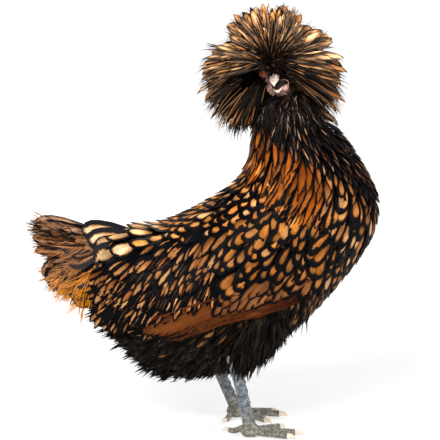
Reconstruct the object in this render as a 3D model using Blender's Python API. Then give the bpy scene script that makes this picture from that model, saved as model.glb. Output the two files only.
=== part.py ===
"""A standing polish crested hen at life size: torso, neck, a head turned to the hen's right with an open
beak, a full crest, a beard, folded wings, a fanned tail and scaled legs on flat-soled feet.

Metres, +Z up, +X the way the body faces, +Y the hen's left. The feet stand on Z = 0.
"""

import math

import bmesh
import bpy
import numpy as np
from mathutils import Matrix, Vector

# Driving sizes
GAP = 0.0003  # kept between nodes that touch
MERGE = 0.000001  # corners of a Boolean's result this close are made one
SEED = 11

# The trunk's outline, tail end to neck top: back line x and z, belly line x and z, half width, sideways bend
TRUNK = np.array(
    [
        [-0.135, 0.179, -0.139, 0.155, 0.010, 0.000],  # tail end
        [-0.123, 0.207, -0.132, 0.125, 0.038, 0.000],  # rump
        [-0.095, 0.219, -0.105, 0.092, 0.056, 0.000],  # vent
        [-0.058, 0.2245, -0.067, 0.061, 0.069, 0.000],  # loin
        [-0.016, 0.2440, -0.004, 0.0595, 0.074, 0.000],  # back
        [0.0165, 0.2665, 0.052, 0.0870, 0.074, 0.000],  # saddle and keel
        [0.0295, 0.288, 0.107, 0.1345, 0.069, 0.000],  # low breast
        [0.0325, 0.307, 0.158, 0.201, 0.061, 0.000],  # breast
        [0.033, 0.322, 0.166, 0.250, 0.052, -0.001],  # neck base
        [0.034, 0.338, 0.142, 0.297, 0.042, -0.006],  # neck
        [0.042, 0.356, 0.112, 0.337, 0.033, -0.014],  # neck top
    ]
)
TRUNK_SIDES = 24
ROWS_PER_STEP = 3  # rings of the trunk between two rows of its outline
NECK_FROM = 7 + 2 / ROWS_PER_STEP  # the row number at which the torso ends and the neck starts
BELLY_TAPER = 0.28  # how much narrower the trunk is near its belly line, where the thighs lie beside it
ROUNDNESS = 2.15  # superellipse power of a trunk section, 2 being an ellipse

HEAD_CENTRE = Vector((0.0632, -0.0232, 0.3826))
HEAD_YAW, HEAD_PITCH, HEAD_ROLL = math.radians(-106.9), math.radians(19.5), math.radians(18)
FACE_X = 0.0135  # the flat face behind the beak, in the head's own frame
EYE_PLACE = Vector((0.0055, 0.0165, 0.0042))  # the left eye, in the head's own frame
EYE_RADIUS = 0.0054

# The crest: a globe of arched feathers whose whorl faces the hen's right
CREST_CENTRE = np.array([0.0535, -0.0080, 0.3875])
CREST_CORE = np.array([0.031, 0.028, 0.029])
CREST_POLE = np.array([-0.030, -0.987, 0.160])
CREST_SPAN = 0.0720  # from the centre to the tips at the crest's rim
CREST_RIM = np.array(  # reach of the rim by direction: degrees round the pole from the front, share of the span
    [
        [-120, 1.00], [-90, 0.90], [-60, 0.94], [-32, 1.06], [-17, 1.08], [0, 1.03], [30, 1.00], [54, 0.92],
        [64, 1.00], [90, 0.95], [134, 0.95], [147, 0.86], [160, 1.00], [180, 0.98], [204, 1.02], [240, 1.00],
    ]
)
CREST_VANES = 66
CREST_VANE_WIDTH = 0.027
FACE_ANGLE, BEARD_ANGLE = math.radians(21), math.radians(33)  # seen from the head, kept free of crest
# The beard: its core in the head's own frame, and tiers of locks given as how many and how far forward they aim
BEARD_CORE = (0.0090, 0, -0.0190)
BEARD_TIERS = ((8, 0.35), (9, 0.75), (8, 1.15))
BEARD_FAN, BEARD_LENGTH, BEARD_WIDTH = 86, 0.027, 0.0115

# The tail, on each side of it: how many feathers, and from top to bottom their rise, splay, length and lean
TAIL_CENTRE = np.array([-0.124, 0.0, 0.190])
TAIL_CORE = np.array([0.034, 0.023, 0.028])
TAIL_VANES, TAIL_COVERTS = 6, 3
TAIL_RISE, TAIL_SPLAY, TAIL_LEAN = (21, -62), (2, 15), (42, 100)
TAIL_LENGTH = (0.087, 0.067, 0.060)
TAIL_WIDTH = 0.026
TAIL_COVERT_LENGTH = (0.058, 0.050, 0.046)
TAIL_COVERT_WIDTH = 0.023

# Where a vane's rings and its tip stand along it, and how wide its rings are, for an arched feather, a
# straight one and a lock
VANE_STEPS = np.array([0, 0.30, 0.64, 0.88, 1.0])
VANE_WIDTHS = np.array([0.30, 0.56, 1.0, 0.78])
QUILL_STEPS = np.array([0, 0.40, 0.82, 1.0])
QUILL_WIDTHS = np.array([0.45, 0.92, 0.92])
LOCK_STEPS = np.array([0, 0.45, 0.80, 1.0])
LOCK_WIDTHS = np.array([0.90, 1.0, 0.55])
VANE_RIDGE = 0.0012  # thickness along the shaft

# The folded wing's upper and lower edge from shoulder to tip, as side-view x and z
WING_TOP = np.array([[0.108, 0.196], [0.088, 0.226], [0.040, 0.226], [-0.010, 0.199], [-0.054, 0.161], [-0.080, 0.132]])
WING_FOOT = np.array([[0.108, 0.180], [0.082, 0.158], [0.042, 0.144], [0.000, 0.133], [-0.038, 0.120], [-0.078, 0.109]])
WING_PLATE = 0.86  # how far along the plate under the vanes reaches
WING_HANG = -0.30  # below this height in the trunk's section the wing hangs straight down
# Tiers of vanes on the wing: how many, first and last root along it and across it, length along it,
# how far they run across it, width in metres, and lift of the tip off the plate in metres
WING_TIERS = (
    (4, (0.50, 0.60), (0.92, 0.52), 0.41, -0.04, 0.018, 0.0012),
    (5, (0.20, 0.66), (0.56, 0.50), 0.24, 0.24, 0.026, 0.0030),
    (5, (0.10, 0.56), (0.32, 0.28), 0.20, 0.24, 0.025, 0.0042),
    (4, (0.04, 0.46), (0.08, 0.06), 0.18, 0.25, 0.025, 0.0040),
)

HOCK = {"right": np.array([0.0155, -0.042, 0.080]), "left": np.array([-0.0135, 0.037, 0.078])}
ANKLE = {"right": np.array([0.0310, -0.042, 0.010]), "left": np.array([0.0170, 0.031, 0.010])}
SHANK_RADIUS = 0.0058
SHANK_SCUTES, TOE_SCUTES = 12, 6
SIDE = {"right": -1.0, "left": 1.0}
# Each toe: angle outwards from straight ahead, length to the claw, radius at its root
TOES = {
    "inner": (-37, 0.040, 0.0047),
    "middle": (-2, 0.048, 0.0051),
    "outer": (15, 0.041, 0.0046),
    "hind": (180, 0.025, 0.0038),
}
HIND_TURN = {"right": -33, "left": -64}  # how far each hind toe turns inwards, in degrees
CLAW_LENGTH = 0.0095

COLOURS = {  # base colour, roughness
    "gold_feather": ((0.46, 0.20, 0.06, 1), 0.6),
    "rust_feather": ((0.33, 0.12, 0.04, 1), 0.6),
    "black_feather": ((0.030, 0.026, 0.024, 1), 0.6),
    "skin": ((0.55, 0.30, 0.26, 1), 0.5),
    "beak_horn": ((0.72, 0.58, 0.50, 1), 0.35),
    "leg_scale": ((0.25, 0.29, 0.32, 1), 0.5),
    "claw_horn": ((0.72, 0.62, 0.48, 1), 0.35),
    "eye": ((0.35, 0.09, 0.03, 1), 0.1),
}


# Meshes, materials and Booleans


def clear_scene():
    for obj in list(bpy.data.objects):
        bpy.data.objects.remove(obj)
    hen = bpy.data.collections.new("polish_hen")
    bpy.context.scene.collection.children.link(hen)
    return hen


def make_material(name, finish):
    colour, roughness = COLOURS[finish]
    material = bpy.data.materials.new(name)
    material.use_nodes = True
    shader = material.node_tree.nodes["Principled BSDF"]
    shader.inputs["Base Color"].default_value = colour
    shader.inputs["Roughness"].default_value = roughness
    return material


HEN = clear_scene()
PIECES = {}  # for each node, the simple closed meshes it was joined from


def add_object(name, mesh, finish):
    obj = bpy.data.objects.new(name, mesh)
    mesh.materials.clear()
    mesh.materials.append(make_material(name, finish))
    HEN.objects.link(obj)
    PIECES[name] = [mesh.copy()]
    return obj


def mesh_from(points, faces):
    """A mesh whose faces all point outwards."""
    mesh = bpy.data.meshes.new("shape")
    mesh.from_pydata([tuple(p) for p in points], [], faces)
    work = bmesh.new()
    work.from_mesh(mesh)
    bmesh.ops.recalc_face_normals(work, faces=work.faces)
    work.to_mesh(mesh)
    work.free()
    return mesh


def primitive(kind, matrix, **sizes):
    """A bmesh sphere, cube or cone, placed by a matrix."""
    work = bmesh.new()
    getattr(bmesh.ops, f"create_{kind}")(work, matrix=matrix, **sizes)
    mesh = bpy.data.meshes.new("shape")
    work.to_mesh(mesh)
    work.free()
    return mesh


def ellipsoid(centre, radii, turn=None, segments=16, rings=10):
    place = Matrix.Translation(Vector(centre)) @ (turn or Matrix.Identity(4))
    stretch = Matrix.Diagonal((*radii, 1))
    return primitive("uvsphere", place @ stretch, u_segments=segments, v_segments=rings, radius=1)


def ring_mesh(centre_matrix, major, minor, around=12, sides=6):
    """A torus about the matrix's Z axis."""
    turn = np.arange(around) * 2 * math.pi / around
    roll = np.arange(sides) * 2 * math.pi / sides
    out = major + minor * np.cos(roll)[None, :]
    rings = np.stack(
        [
            out * np.cos(turn)[:, None],
            out * np.sin(turn)[:, None],
            np.broadcast_to(minor * np.sin(roll), (around, sides)),
        ],
        axis=-1,
    )
    faces = []
    for i in range(around):
        for j in range(sides):
            a, b = i * sides + j, i * sides + (j + 1) % sides
            c, d = (i + 1) % around * sides + (j + 1) % sides, (i + 1) % around * sides + j
            faces.append((a, b, c, d))
    mesh = mesh_from(rings.reshape(-1, 3), faces)
    mesh.transform(centre_matrix)
    return mesh


def loft(rings, point_start=False, point_end=False):
    """A closed tube through rings of equal size, with flat caps, or drawn to a point at either end."""
    rings = np.asarray(rings, float)
    count, sides = rings.shape[:2]
    points = list(rings.reshape(-1, 3))
    faces = []
    for i in range(count - 1):
        for j in range(sides):
            a, b = i * sides + j, i * sides + (j + 1) % sides
            faces.append((a, b, b + sides, a + sides))
    for at_end, pointed in ((0, point_start), (1, point_end)):
        row = (count - 1) * sides * at_end
        if pointed:
            # the given ring is the last but one, and its centre moves out to make the point
            inner = rings[-1 - (count - 1) * (1 - at_end)].mean(axis=0)
            before = rings[-2 if at_end else 1].mean(axis=0)
            points.append(inner + (inner - before) * 0.5)
            faces += [(row + j, row + (j + 1) % sides, len(points) - 1) for j in range(sides)]
        else:
            faces.append(tuple(row + j for j in range(sides)))
    return mesh_from(points, faces)


def vane(path, across, face, half_widths, thickness):
    """A thin closed feather: flattened four-sided rings along the path, ending in its last point.
    Both faces are split into triangles alike."""
    path, across, face = (np.asarray(v, float) for v in (path, across, face))
    w = np.asarray(half_widths, float)[:, None]
    h = thickness / 2 * (0.55 + 0.45 * w / w.max())
    body = path[:-1]
    rings = np.stack(
        [body + across * w, body + face * h, body - across * w, body - face * h], axis=1
    )
    points = np.vstack([rings.reshape(-1, 3), path[-1:]])
    tip, faces = len(points) - 1, [(0, 1, 3), (1, 2, 3)]
    for i in range(len(body) - 1):
        for edge, ridge in ((0, 1), (2, 1), (0, 3), (2, 3)):
            a, b = 4 * i + edge, 4 * i + ridge
            faces += [(a, b, b + 4), (a, b + 4, a + 4)]
    last = 4 * (len(body) - 1)
    faces += [(last + j, last + (j + 1) % 4, tip) for j in range(4)]
    return mesh_from(points, faces)


def feather(path, across, width, profile):
    """A vane along a path of points, as wide as given, with its flat sides square to the path."""
    path = np.asarray(path, float)
    along = np.gradient(path, axis=0)
    along /= np.linalg.norm(along, axis=1, keepdims=True)
    across = across - along * (across * along).sum(axis=1, keepdims=True)
    across /= np.linalg.norm(across, axis=1, keepdims=True)
    face = np.cross(along, across)
    return vane(path, across[:-1], face[:-1], width / 2 * profile, VANE_RIDGE)


def bake(obj):
    """Applies an object's modifiers."""
    graph = bpy.context.evaluated_depsgraph_get()
    obj.data = bpy.data.meshes.new_from_object(obj.evaluated_get(graph))
    obj.modifiers.clear()


def keep_largest(obj):
    """Drops every closed surface but the largest, such as the inside of a sealed hollow."""
    work = bmesh.new()
    work.from_mesh(obj.data)
    bmesh.ops.remove_doubles(work, verts=work.verts, dist=MERGE)
    left, shells = set(work.faces), []
    while left:
        shell, edge_of_search = set(), [left.pop()]
        while edge_of_search:
            face = edge_of_search.pop()
            shell.add(face)
            sides = [edge.link_faces for edge in face.edges if len(edge.link_faces) == 2]
            near = {other for pair in sides for other in pair} & left
            left -= near
            edge_of_search += near
        shells.append(shell)
    size = [len({v for f in shell for v in f.verts}) for shell in shells]
    spare = [f for k, shell in enumerate(shells) if k != size.index(max(size)) for f in shell]
    bmesh.ops.delete(work, geom=spare, context="FACES")
    work.to_mesh(obj.data)
    work.free()


def boolean(obj, meshes, operation):
    """Joins meshes to the object, or cuts them from it, in one Boolean over a collection."""
    tools = bpy.data.collections.new("tools")
    bpy.context.scene.collection.children.link(tools)
    for mesh in meshes:
        tools.objects.link(bpy.data.objects.new("tool", mesh))
    modifier = obj.modifiers.new("boolean", "BOOLEAN")
    modifier.operation = operation
    modifier.operand_type = "COLLECTION"
    modifier.collection = tools
    modifier.solver = "MANIFOLD"
    bake(obj)
    for tool in list(tools.objects):
        bpy.data.objects.remove(tool)
    bpy.data.collections.remove(tools)


def join(obj, meshes):
    PIECES[obj.name] += [mesh.copy() for mesh in meshes]
    boolean(obj, meshes, "UNION")


def grown(mesh, distance):
    """A copy of a mesh, moved out along its normals."""
    mesh = mesh.copy()
    work = bmesh.new()
    work.from_mesh(mesh)
    work.normal_update()
    shift = [(v, v.normal * distance * min(v.calc_shell_factor(), 3.0)) for v in work.verts]
    for vert, move in shift:
        vert.co += move
    work.to_mesh(mesh)
    work.free()
    return mesh


def cut_clear(obj, neighbours, distance=GAP):
    """Cuts an object back from the pieces of its neighbours, so that it meets them face to face."""
    pieces = [piece for neighbour in neighbours for piece in PIECES[neighbour.name]]
    boolean(obj, [grown(piece, distance) for piece in pieces], "DIFFERENCE")
    keep_largest(obj)


# The trunk, which the feathers lie along


def smooth_rows(rows, at):
    """A Catmull-Rom curve through the rows of a table, read at fractional row numbers."""
    padded = np.vstack([2 * rows[0] - rows[1], rows, 2 * rows[-1] - rows[-2]])
    at = np.clip(np.asarray(at, float), 0, len(rows) - 1)
    k = np.minimum(at.astype(int), len(rows) - 2)
    t = (at - k)[..., None]
    a, b, c, d = (padded[k + i] for i in range(4))
    curve = 2 * b + (c - a) * t + (2 * a - 5 * b + 4 * c - d) * t**2 + (3 * b - a - 3 * c + d) * t**3
    return curve / 2


def trunk_at(row, angle):
    """Points of the trunk's surface at row numbers and at angles from the back line towards the hen's right."""
    row, angle = np.broadcast_arrays(np.asarray(row, float), np.asarray(angle, float))
    back_x, back_z, belly_x, belly_z, half, bend = np.moveaxis(smooth_rows(TRUNK, row), -1, 0)
    up = np.stack([back_x - belly_x, np.zeros_like(back_x), back_z - belly_z], axis=-1) / 2
    middle = np.stack([(back_x + belly_x) / 2, bend, (back_z + belly_z) / 2], axis=-1)
    c, s = np.cos(angle), np.sin(angle)
    rise = np.sign(c) * np.abs(c) ** (2 / ROUNDNESS)
    out = np.sign(s) * np.abs(s) ** (2 / ROUNDNESS) * (1 - BELLY_TAPER * np.clip(-c, 0, 1))
    points = middle + up * rise[..., None]
    points[..., 1] -= half * out
    return points


def trunk_frame(row, angle, step=0.02):
    """Points of the trunk, with its outward normals."""
    along = trunk_at(np.asarray(row) + step, angle) - trunk_at(np.asarray(row) - step, angle)
    around = trunk_at(row, np.asarray(angle) + step) - trunk_at(row, np.asarray(angle) - step)
    normal = np.cross(around, along)
    normal /= np.linalg.norm(normal, axis=-1, keepdims=True)
    return trunk_at(row, angle), normal


def trunk_row(x, z):
    """The row whose section passes through points of the trunk's side view."""
    low, high = np.zeros(np.shape(x)), np.full(np.shape(x), len(TRUNK) - 1.0)
    for _ in range(26):
        row = (low + high) / 2
        back_x, back_z, belly_x, belly_z, _, _ = np.moveaxis(smooth_rows(TRUNK, row), -1, 0)
        ahead = (back_x - belly_x) * (z - belly_z) < (back_z - belly_z) * (x - belly_x)
        low, high = np.where(ahead, row, low), np.where(ahead, high, row)
    return row


def trunk_place(x, z):
    """For points of the side view: height in their section from -1 to 1, the section's middle, half width
    and sideways bend."""
    back_x, back_z, belly_x, belly_z, half, bend = np.moveaxis(smooth_rows(TRUNK, trunk_row(x, z)), -1, 0)
    side_x, side_z = back_x - belly_x, back_z - belly_z
    height = ((x - belly_x) * side_x + (z - belly_z) * side_z) / (side_x**2 + side_z**2)
    middle = np.stack([(back_x + belly_x) / 2, bend, (back_z + belly_z) / 2], axis=-1)
    return 2 * height - 1, middle, half, bend


def flank(x, z):
    """How far the wing's bed reaches sideways at points of the side view: the trunk's own width, and straight
    down from the lower part of its side."""
    height, _, half, _ = trunk_place(x, z)
    height = np.clip(height, WING_HANG, 1)
    c = np.sign(height) * np.abs(height) ** (ROUNDNESS / 2)
    return half * (1 - c * c) ** (1 / ROUNDNESS) * (1 - BELLY_TAPER * np.clip(-c, 0, 1))


def outside_trunk(points, margin):
    """Points moved out of the trunk, to a distance from it given as a share of its half width."""
    height, middle, half, bend = trunk_place(points[..., 0], points[..., 2])
    reach = (np.abs(height) ** ROUNDNESS + np.abs((points[..., 1] - bend) / half) ** ROUNDNESS) ** (1 / ROUNDNESS)
    within = (trunk_row(points[..., 0], points[..., 2]) < len(TRUNK) - 1.001) & (reach > 0.3)
    grow = np.where(within, np.maximum((1 + margin) / np.maximum(reach, 0.3), 1), 1)
    return middle + (points - middle) * grow[..., None]


def trunk_rings(rows):
    angles = np.arange(TRUNK_SIDES) * 2 * math.pi / TRUNK_SIDES
    return trunk_at(np.asarray(rows)[:, None], angles[None, :])


def make_trunk():
    steps = np.arange(0, (len(TRUNK) - 1) * ROWS_PER_STEP + 1) / ROWS_PER_STEP
    torso_rings = trunk_rings(steps[steps <= NECK_FROM + 1e-6])
    neck_rings = trunk_rings(steps[steps >= NECK_FROM - 1e-6])
    seam = torso_rings[-1]
    normal = np.cross(seam[6] - seam[0], seam[12] - seam[0])
    normal *= np.sign(normal[2]) / np.linalg.norm(normal)
    neck_rings[0] += normal * GAP
    torso = add_object("torso", loft(torso_rings), "gold_feather")
    neck = add_object("neck", loft(neck_rings), "gold_feather")
    return torso, neck


# Head, beak and eyes


def head_matrix():
    turn = Matrix.Rotation(HEAD_YAW, 4, "Z") @ Matrix.Rotation(HEAD_PITCH, 4, "Y")
    return Matrix.Translation(HEAD_CENTRE) @ turn @ Matrix.Rotation(HEAD_ROLL, 4, "X")


HEAD = head_matrix()


def oval_rings(stations, sides=14):
    """Rings in the head's frame. Each station is forward place, half width, top and bottom height."""
    angle = np.arange(sides) * 2 * math.pi / sides
    rings = []
    for x, half, top, bottom in stations:
        z = (top + bottom) / 2 + (top - bottom) / 2 * np.sin(angle)
        rings.append(np.stack([np.full(sides, x), half * np.cos(angle), z], axis=-1))
    return np.array(rings)


def in_head(mesh):
    mesh.transform(HEAD)
    return mesh


def make_head(neck):
    skull = oval_rings(
        [
            (-0.0215, 0.0060, 0.008, -0.006),
            (-0.0180, 0.0125, 0.014, -0.013),
            (-0.0100, 0.0170, 0.0175, -0.0165),
            (0.0000, 0.0186, 0.0180, -0.0165),
            (0.0080, 0.0166, 0.0145, -0.0150),
            (FACE_X, 0.0108, 0.0090, -0.0130),
        ]
    )
    head = add_object("head", in_head(loft(skull)), "skin")
    throat_top = np.array(HEAD @ Vector((-0.006, 0, -0.006)))
    neck_rows = np.linspace(10, 9.6, 2)
    base = trunk_at(neck_rows[0], np.arange(14) * 2 * math.pi / 14)
    centre = base.mean(axis=0)
    lowest = centre + (base - centre) * 0.72 - np.array([0, 0, 0.012])
    middle = (centre + throat_top) / 2 + (base - centre) * 0.42 - np.array([0, 0, 0.002])
    highest = throat_top + (base - centre) * 0.22
    lids = [
        in_head(ring_mesh(eye_place(side) @ Matrix.Translation((0, 0, 0.0012)), 0.0058, 0.0010, 12, 5))
        for side in SIDE
    ]
    join(head, [loft([lowest, middle, highest]), *lids])
    sockets = [in_head(ellipsoid((0, 0, 0), [EYE_RADIUS + 2 * GAP] * 3, segments=12, rings=8)) for _ in SIDE]
    for side, socket in zip(SIDE, sockets):
        eye = HEAD @ eye_place(side).translation
        socket.transform(Matrix.Translation(eye - HEAD.translation))
    mouth_place = Matrix.Translation((FACE_X - 0.001, 0, -0.0050)) @ Matrix.Diagonal((0.008, 0.04, 0.0009, 1))
    mouth = in_head(primitive("cube", mouth_place, size=1))
    boolean(head, [*sockets, mouth], "DIFFERENCE")
    cut_clear(head, [neck])
    return head


def eye_place(side):
    """The eye's place in the head's frame, with Z looking out of the head."""
    place = Vector((EYE_PLACE.x, EYE_PLACE.y * SIDE[side], EYE_PLACE.z))
    outwards = Vector((0.28, SIDE[side], 0.06)).to_track_quat("Z", "X").to_matrix().to_4x4()
    return Matrix.Translation(place) @ outwards


def make_eyes():
    places = [(side, HEAD @ eye_place(side)) for side in SIDE]
    sizes = {"u_segments": 12, "v_segments": 8, "radius": EYE_RADIUS}
    return [add_object(f"eye_{side}", primitive("uvsphere", place, **sizes), "eye") for side, place in places]


def make_beak():
    start = FACE_X + GAP
    upper = [
        (start, 0.0084, 0.0070, -0.0034),
        (0.0175, 0.0078, 0.0066, -0.0032),
        (0.0215, 0.0060, 0.0050, -0.0032),
        (0.0252, 0.0041, 0.0026, -0.0036),
        (0.0282, 0.0023, -0.0004, -0.0048),
        (0.0296, 0.0009, -0.0030, -0.0060),
    ]
    lower = [
        (start, 0.0080, -0.0066, -0.0122),
        (0.0180, 0.0070, -0.0086, -0.0138),
        (0.0222, 0.0050, -0.0106, -0.0146),
        (0.0258, 0.0022, -0.0124, -0.0148),
    ]
    top = add_object("beak_upper", in_head(loft(oval_rings(upper, 12))), "beak_horn")
    flanges, holes = [], []
    for sign in (-1, 1):
        turn = Vector((0.25, sign, 0.45)).to_track_quat("Z", "X").to_matrix().to_4x4()
        place = Matrix.Translation((0.0172, sign * 0.0072, 0.0040)) @ turn
        flanges.append(in_head(ring_mesh(place, 0.0019, 0.0008, 8, 4)))
        holes.append(in_head(ellipsoid((0, 0, 0), (0.0016, 0.0009, 0.0022), segments=8, rings=6)))
        holes[-1].transform(Matrix.Translation(HEAD @ place.translation - HEAD.translation))
    join(top, flanges)
    boolean(top, holes, "DIFFERENCE")
    keep_largest(top)
    bottom = add_object("beak_lower", in_head(loft(oval_rings(lower, 12))), "beak_horn")
    return top, bottom


# Legs


def scute_path(points, count):
    """A path whose rings come in pairs: one at the start of each scute and one near its raised end."""
    ends = np.arange(count)[:, None] + np.array([0, 0.78])
    place = np.append(ends.ravel(), count) / count * (len(points) - 1)
    points = np.asarray(points, float)
    return np.stack([np.interp(place, range(len(points)), points[:, k]) for k in range(3)], axis=1)


def tube_rings(path, radii, sides, squash=1.0, scutes=0.0):
    """Rings of a tube along a path, deeper than wide by squash, each second ring swelling at its front or
    top into the raised end of a scute."""
    path = np.asarray(path, float)
    along = np.gradient(path, axis=0)
    along /= np.linalg.norm(along, axis=1, keepdims=True)
    beside = np.cross(along, (0, 0, 1.0))
    flat = np.linalg.norm(beside, axis=1) < 0.3
    beside[flat] = np.cross(along[flat], (1.0, 0, 0))
    beside /= np.linalg.norm(beside, axis=1, keepdims=True)
    front = np.cross(beside, along)
    angle = np.arange(sides) * 2 * math.pi / sides
    radii = np.asarray(radii, float)[:, None]
    swell = 1 + scutes * (np.arange(len(path)) % 2)[:, None] * np.clip(np.cos(angle) + 0.2, 0, 1)
    ahead = (radii * swell * np.cos(angle) * squash)[..., None] * front[:, None]
    return path[:, None] + ahead + (radii * swell * np.sin(angle))[..., None] * beside[:, None]


def stretch(points, count):
    """Points spread evenly along the straight pieces between the given ones."""
    points = np.asarray(points, float)
    place = np.linspace(0, len(points) - 1, count)
    return np.stack([np.interp(place, range(len(points)), points[:, k]) for k in range(3)], axis=1)


def make_thigh(side, torso):
    hock = HOCK[side]
    out = np.array([0, SIDE[side], 0])
    path = hock + [(0.034, 0, 0.062), (0.029, 0, 0.048), (0.021, 0, 0.030), (0.012, 0, 0.012), (0.006, 0, 0.0)]
    path += out * np.array([0.002, 0.002, 0.002, 0.001, 0.0])[:, None]
    radii = np.array([0.017, 0.026, 0.027, 0.021, 0.0115])
    angle = np.arange(16) * 2 * math.pi / 16
    circle = np.stack([np.cos(angle), np.sin(angle), -0.35 * np.cos(angle)], axis=-1)
    rings = path[:, None] + circle * radii[:, None, None]
    thigh = add_object(f"thigh_{side}", loft(rings), "black_feather")
    cut_clear(thigh, [torso])
    return thigh


def make_shank(side, thigh, torso):
    hock, ankle = HOCK[side], ANKLE[side]
    path = scute_path([hock + (hock - ankle) * 0.10, ankle + (hock - ankle) * 0.09], SHANK_SCUTES)
    place = np.linspace(0, 1, len(path))
    radii = np.interp(place, [0, 0.14, 0.36, 0.82, 1], np.array([1.18, 1.14, 0.93, 0.93, 1.07]) * SHANK_RADIUS)
    shank = add_object(f"shank_{side}", loft(tube_rings(path, radii, 10, 1.12, 0.15)), "leg_scale")
    cut_clear(shank, [thigh, torso])
    return shank


def toe_axis(side, name):
    """The toe's root and its direction along the floor."""
    turn = TOES[name][0] + (HIND_TURN[side] if name == "hind" else 0)
    angle = -math.radians(turn) * SIDE[side] if name == "hind" else math.radians(turn) * SIDE[side]
    return np.array([math.cos(angle), math.sin(angle), 0.0])


def toe_path(side, name):
    _, length, radius = TOES[name]
    along = toe_axis(side, name)
    root = ANKLE[side] * (1, 1, 0)
    up = np.array([0, 0, 1.0])
    if name == "hind":
        start = root + up * 0.013 - along * 0.002
        tip = root + along * length + up * radius * 0.60
        knots = [start, root + along * 0.010 + up * 0.0070, tip - along * 0.006 + up * 0.0004, tip]
    else:
        lift = radius * 0.86
        knots = [
            root + up * (lift + 0.0030) + along * 0.002,
            root + along * length * 0.30 + up * (lift + 0.0008),
            root + along * length * 0.62 + up * lift * 1.05,
            root + along * length + up * lift * 0.78,
        ]
    return scute_path(knots, TOE_SCUTES if name != "hind" else TOE_SCUTES // 2)


def make_foot(side, shank):
    ankle = ANKLE[side]
    pad_centre = ankle * (1, 1, 0) + np.array([0.001, 0, 0.0062])
    pad = ellipsoid(pad_centre, (0.0105, 0.0088, 0.0078), segments=12, rings=8)
    foot = add_object(f"foot_{side}", pad, "leg_scale")
    toes = []
    for name, (_, _, radius) in TOES.items():
        path = toe_path(side, name)
        radii = np.linspace(radius, radius * 0.72, len(path))
        toes.append(loft(tube_rings(path, radii, 8, 1.0, 0.15)))
    direction = HOCK[side] - ankle
    stem = stretch([ankle * (1, 1, 0) + (0, 0, 0.006), ankle + direction * 0.085], 3)
    toes.append(loft(tube_rings(stem, [0.0072, 0.0068, 0.0060], 10, 1.12)))
    join(foot, toes)
    floor_box = Matrix.Translation((ankle[0], ankle[1], -0.02)) @ Matrix.Diagonal((0.4, 0.4, 0.04, 1))
    boolean(foot, [primitive("cube", floor_box, size=1)], "DIFFERENCE")
    cut_clear(foot, [shank])
    return foot


def make_claw(side, name, foot):
    path = toe_path(side, name)
    along = path[-1] - path[-2]
    along /= np.linalg.norm(along)
    radius = TOES[name][2] * 0.72 * 0.78
    root = path[-1] + along * GAP
    level = toe_axis(side, name)
    drop = root[2] - 0.0006
    t = np.linspace(0, 1, 5)[:, None]
    curve = root + level * CLAW_LENGTH * t + np.array([0, 0, 0.0012]) * np.sin(math.pi * t)
    curve = curve - np.array([0, 0, 1.0]) * drop * t**2
    rings = tube_rings(curve[:-1], radius * np.array([1.0, 0.86, 0.62, 0.34]), 7, 1.15)
    rings[0] = rings[0] - along * ((rings[0] - root) @ along)[:, None]
    rings[..., 2] = np.maximum(rings[..., 2], 0.0004)
    add_object(f"claw_{side}_{name}", loft(rings, point_end=True), "claw_horn")


def make_leg(side, torso):
    thigh = make_thigh(side, torso)
    shank = make_shank(side, thigh, torso)
    foot = make_foot(side, shank)
    for name in TOES:
        make_claw(side, name, foot)
    return thigh


# Crest, beard, tail and wings


def even_directions(count):
    """Directions spread evenly over a sphere, from +Z to -Z."""
    k = np.arange(count) + 0.5
    turn, level = k * math.pi * (3 - math.sqrt(5)), 1 - 2 * k / count
    return np.stack([np.cos(turn), np.sin(turn)]) * np.sqrt(1 - level**2), level


def crest_axes():
    pole = CREST_POLE / np.linalg.norm(CREST_POLE)
    right = np.cross(pole, (0, 0, -1.0))
    right /= np.linalg.norm(right)
    return pole, right, np.cross(right, -pole)


def crest_paths(rng):
    """Paths of the crest's feathers and their across directions. Each leaves the core near its own place
    and arches away from the whorl to a tip on the globe, and the rear ones hang."""
    pole, right, up = crest_axes()
    (flat_x, flat_y), level = even_directions(CREST_VANES)
    turn, tip = np.arctan2(flat_y, flat_x), np.arccos(level)
    root = np.maximum(tip - 0.66, 0.3 * tip)
    spin = np.cos(turn)[:, None] * right + np.sin(turn)[:, None] * up
    degrees = (np.degrees(turn) + 120) % 360 - 120
    rim = 1 + (np.interp(degrees, *CREST_RIM.T) - 1) * np.sin(tip) ** 2
    span = CREST_SPAN * rim * (0.80 + 0.20 * np.sin(np.minimum(tip, 1.6))) * rng.uniform(0.95, 1.04, CREST_VANES)
    t = VANE_STEPS[None, :]
    angle = root[:, None] + (tip - root)[:, None] * t**1.4
    aim = np.cos(angle)[..., None] * pole + np.sin(angle)[..., None] * spin[:, None]
    start = 0.72 * np.linalg.norm(aim[:, 0] * CREST_CORE, axis=1)
    reach = start[:, None] + (span - start)[:, None] * (1 - (1 - t) ** 1.7)
    paths = CREST_CENTRE + aim * reach[..., None]
    hang = 0.010 * np.clip(tip - 1.1, 0, 1) + 0.004
    paths[..., 2] -= hang[:, None] * t**2
    paths = outside_trunk(paths, 0.05 + 0.05 * t)
    across = np.cross(spin, pole)
    edge = across[:, None] * CREST_VANE_WIDTH / 2
    keep = clear_of_face(np.concatenate([paths + edge, paths - edge], axis=1)).all(axis=1)
    return paths[keep], across[keep]


def clear_of_face(points):
    """Whether points lie clear of the space in front of the beak and of the beard below it."""
    beak = np.array(HEAD.to_3x3() @ Vector((1, 0, -0.28)).normalized())
    beard = np.array(HEAD.to_3x3() @ Vector((0.62, 0, -0.78)).normalized())
    away = points - np.array(HEAD.translation)
    far = np.linalg.norm(away, axis=-1)
    by_beak, by_beard = away @ beak > far * math.cos(FACE_ANGLE), away @ beard > far * math.cos(BEARD_ANGLE)
    return (far < 0.022) | ~(by_beak | by_beard)


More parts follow.
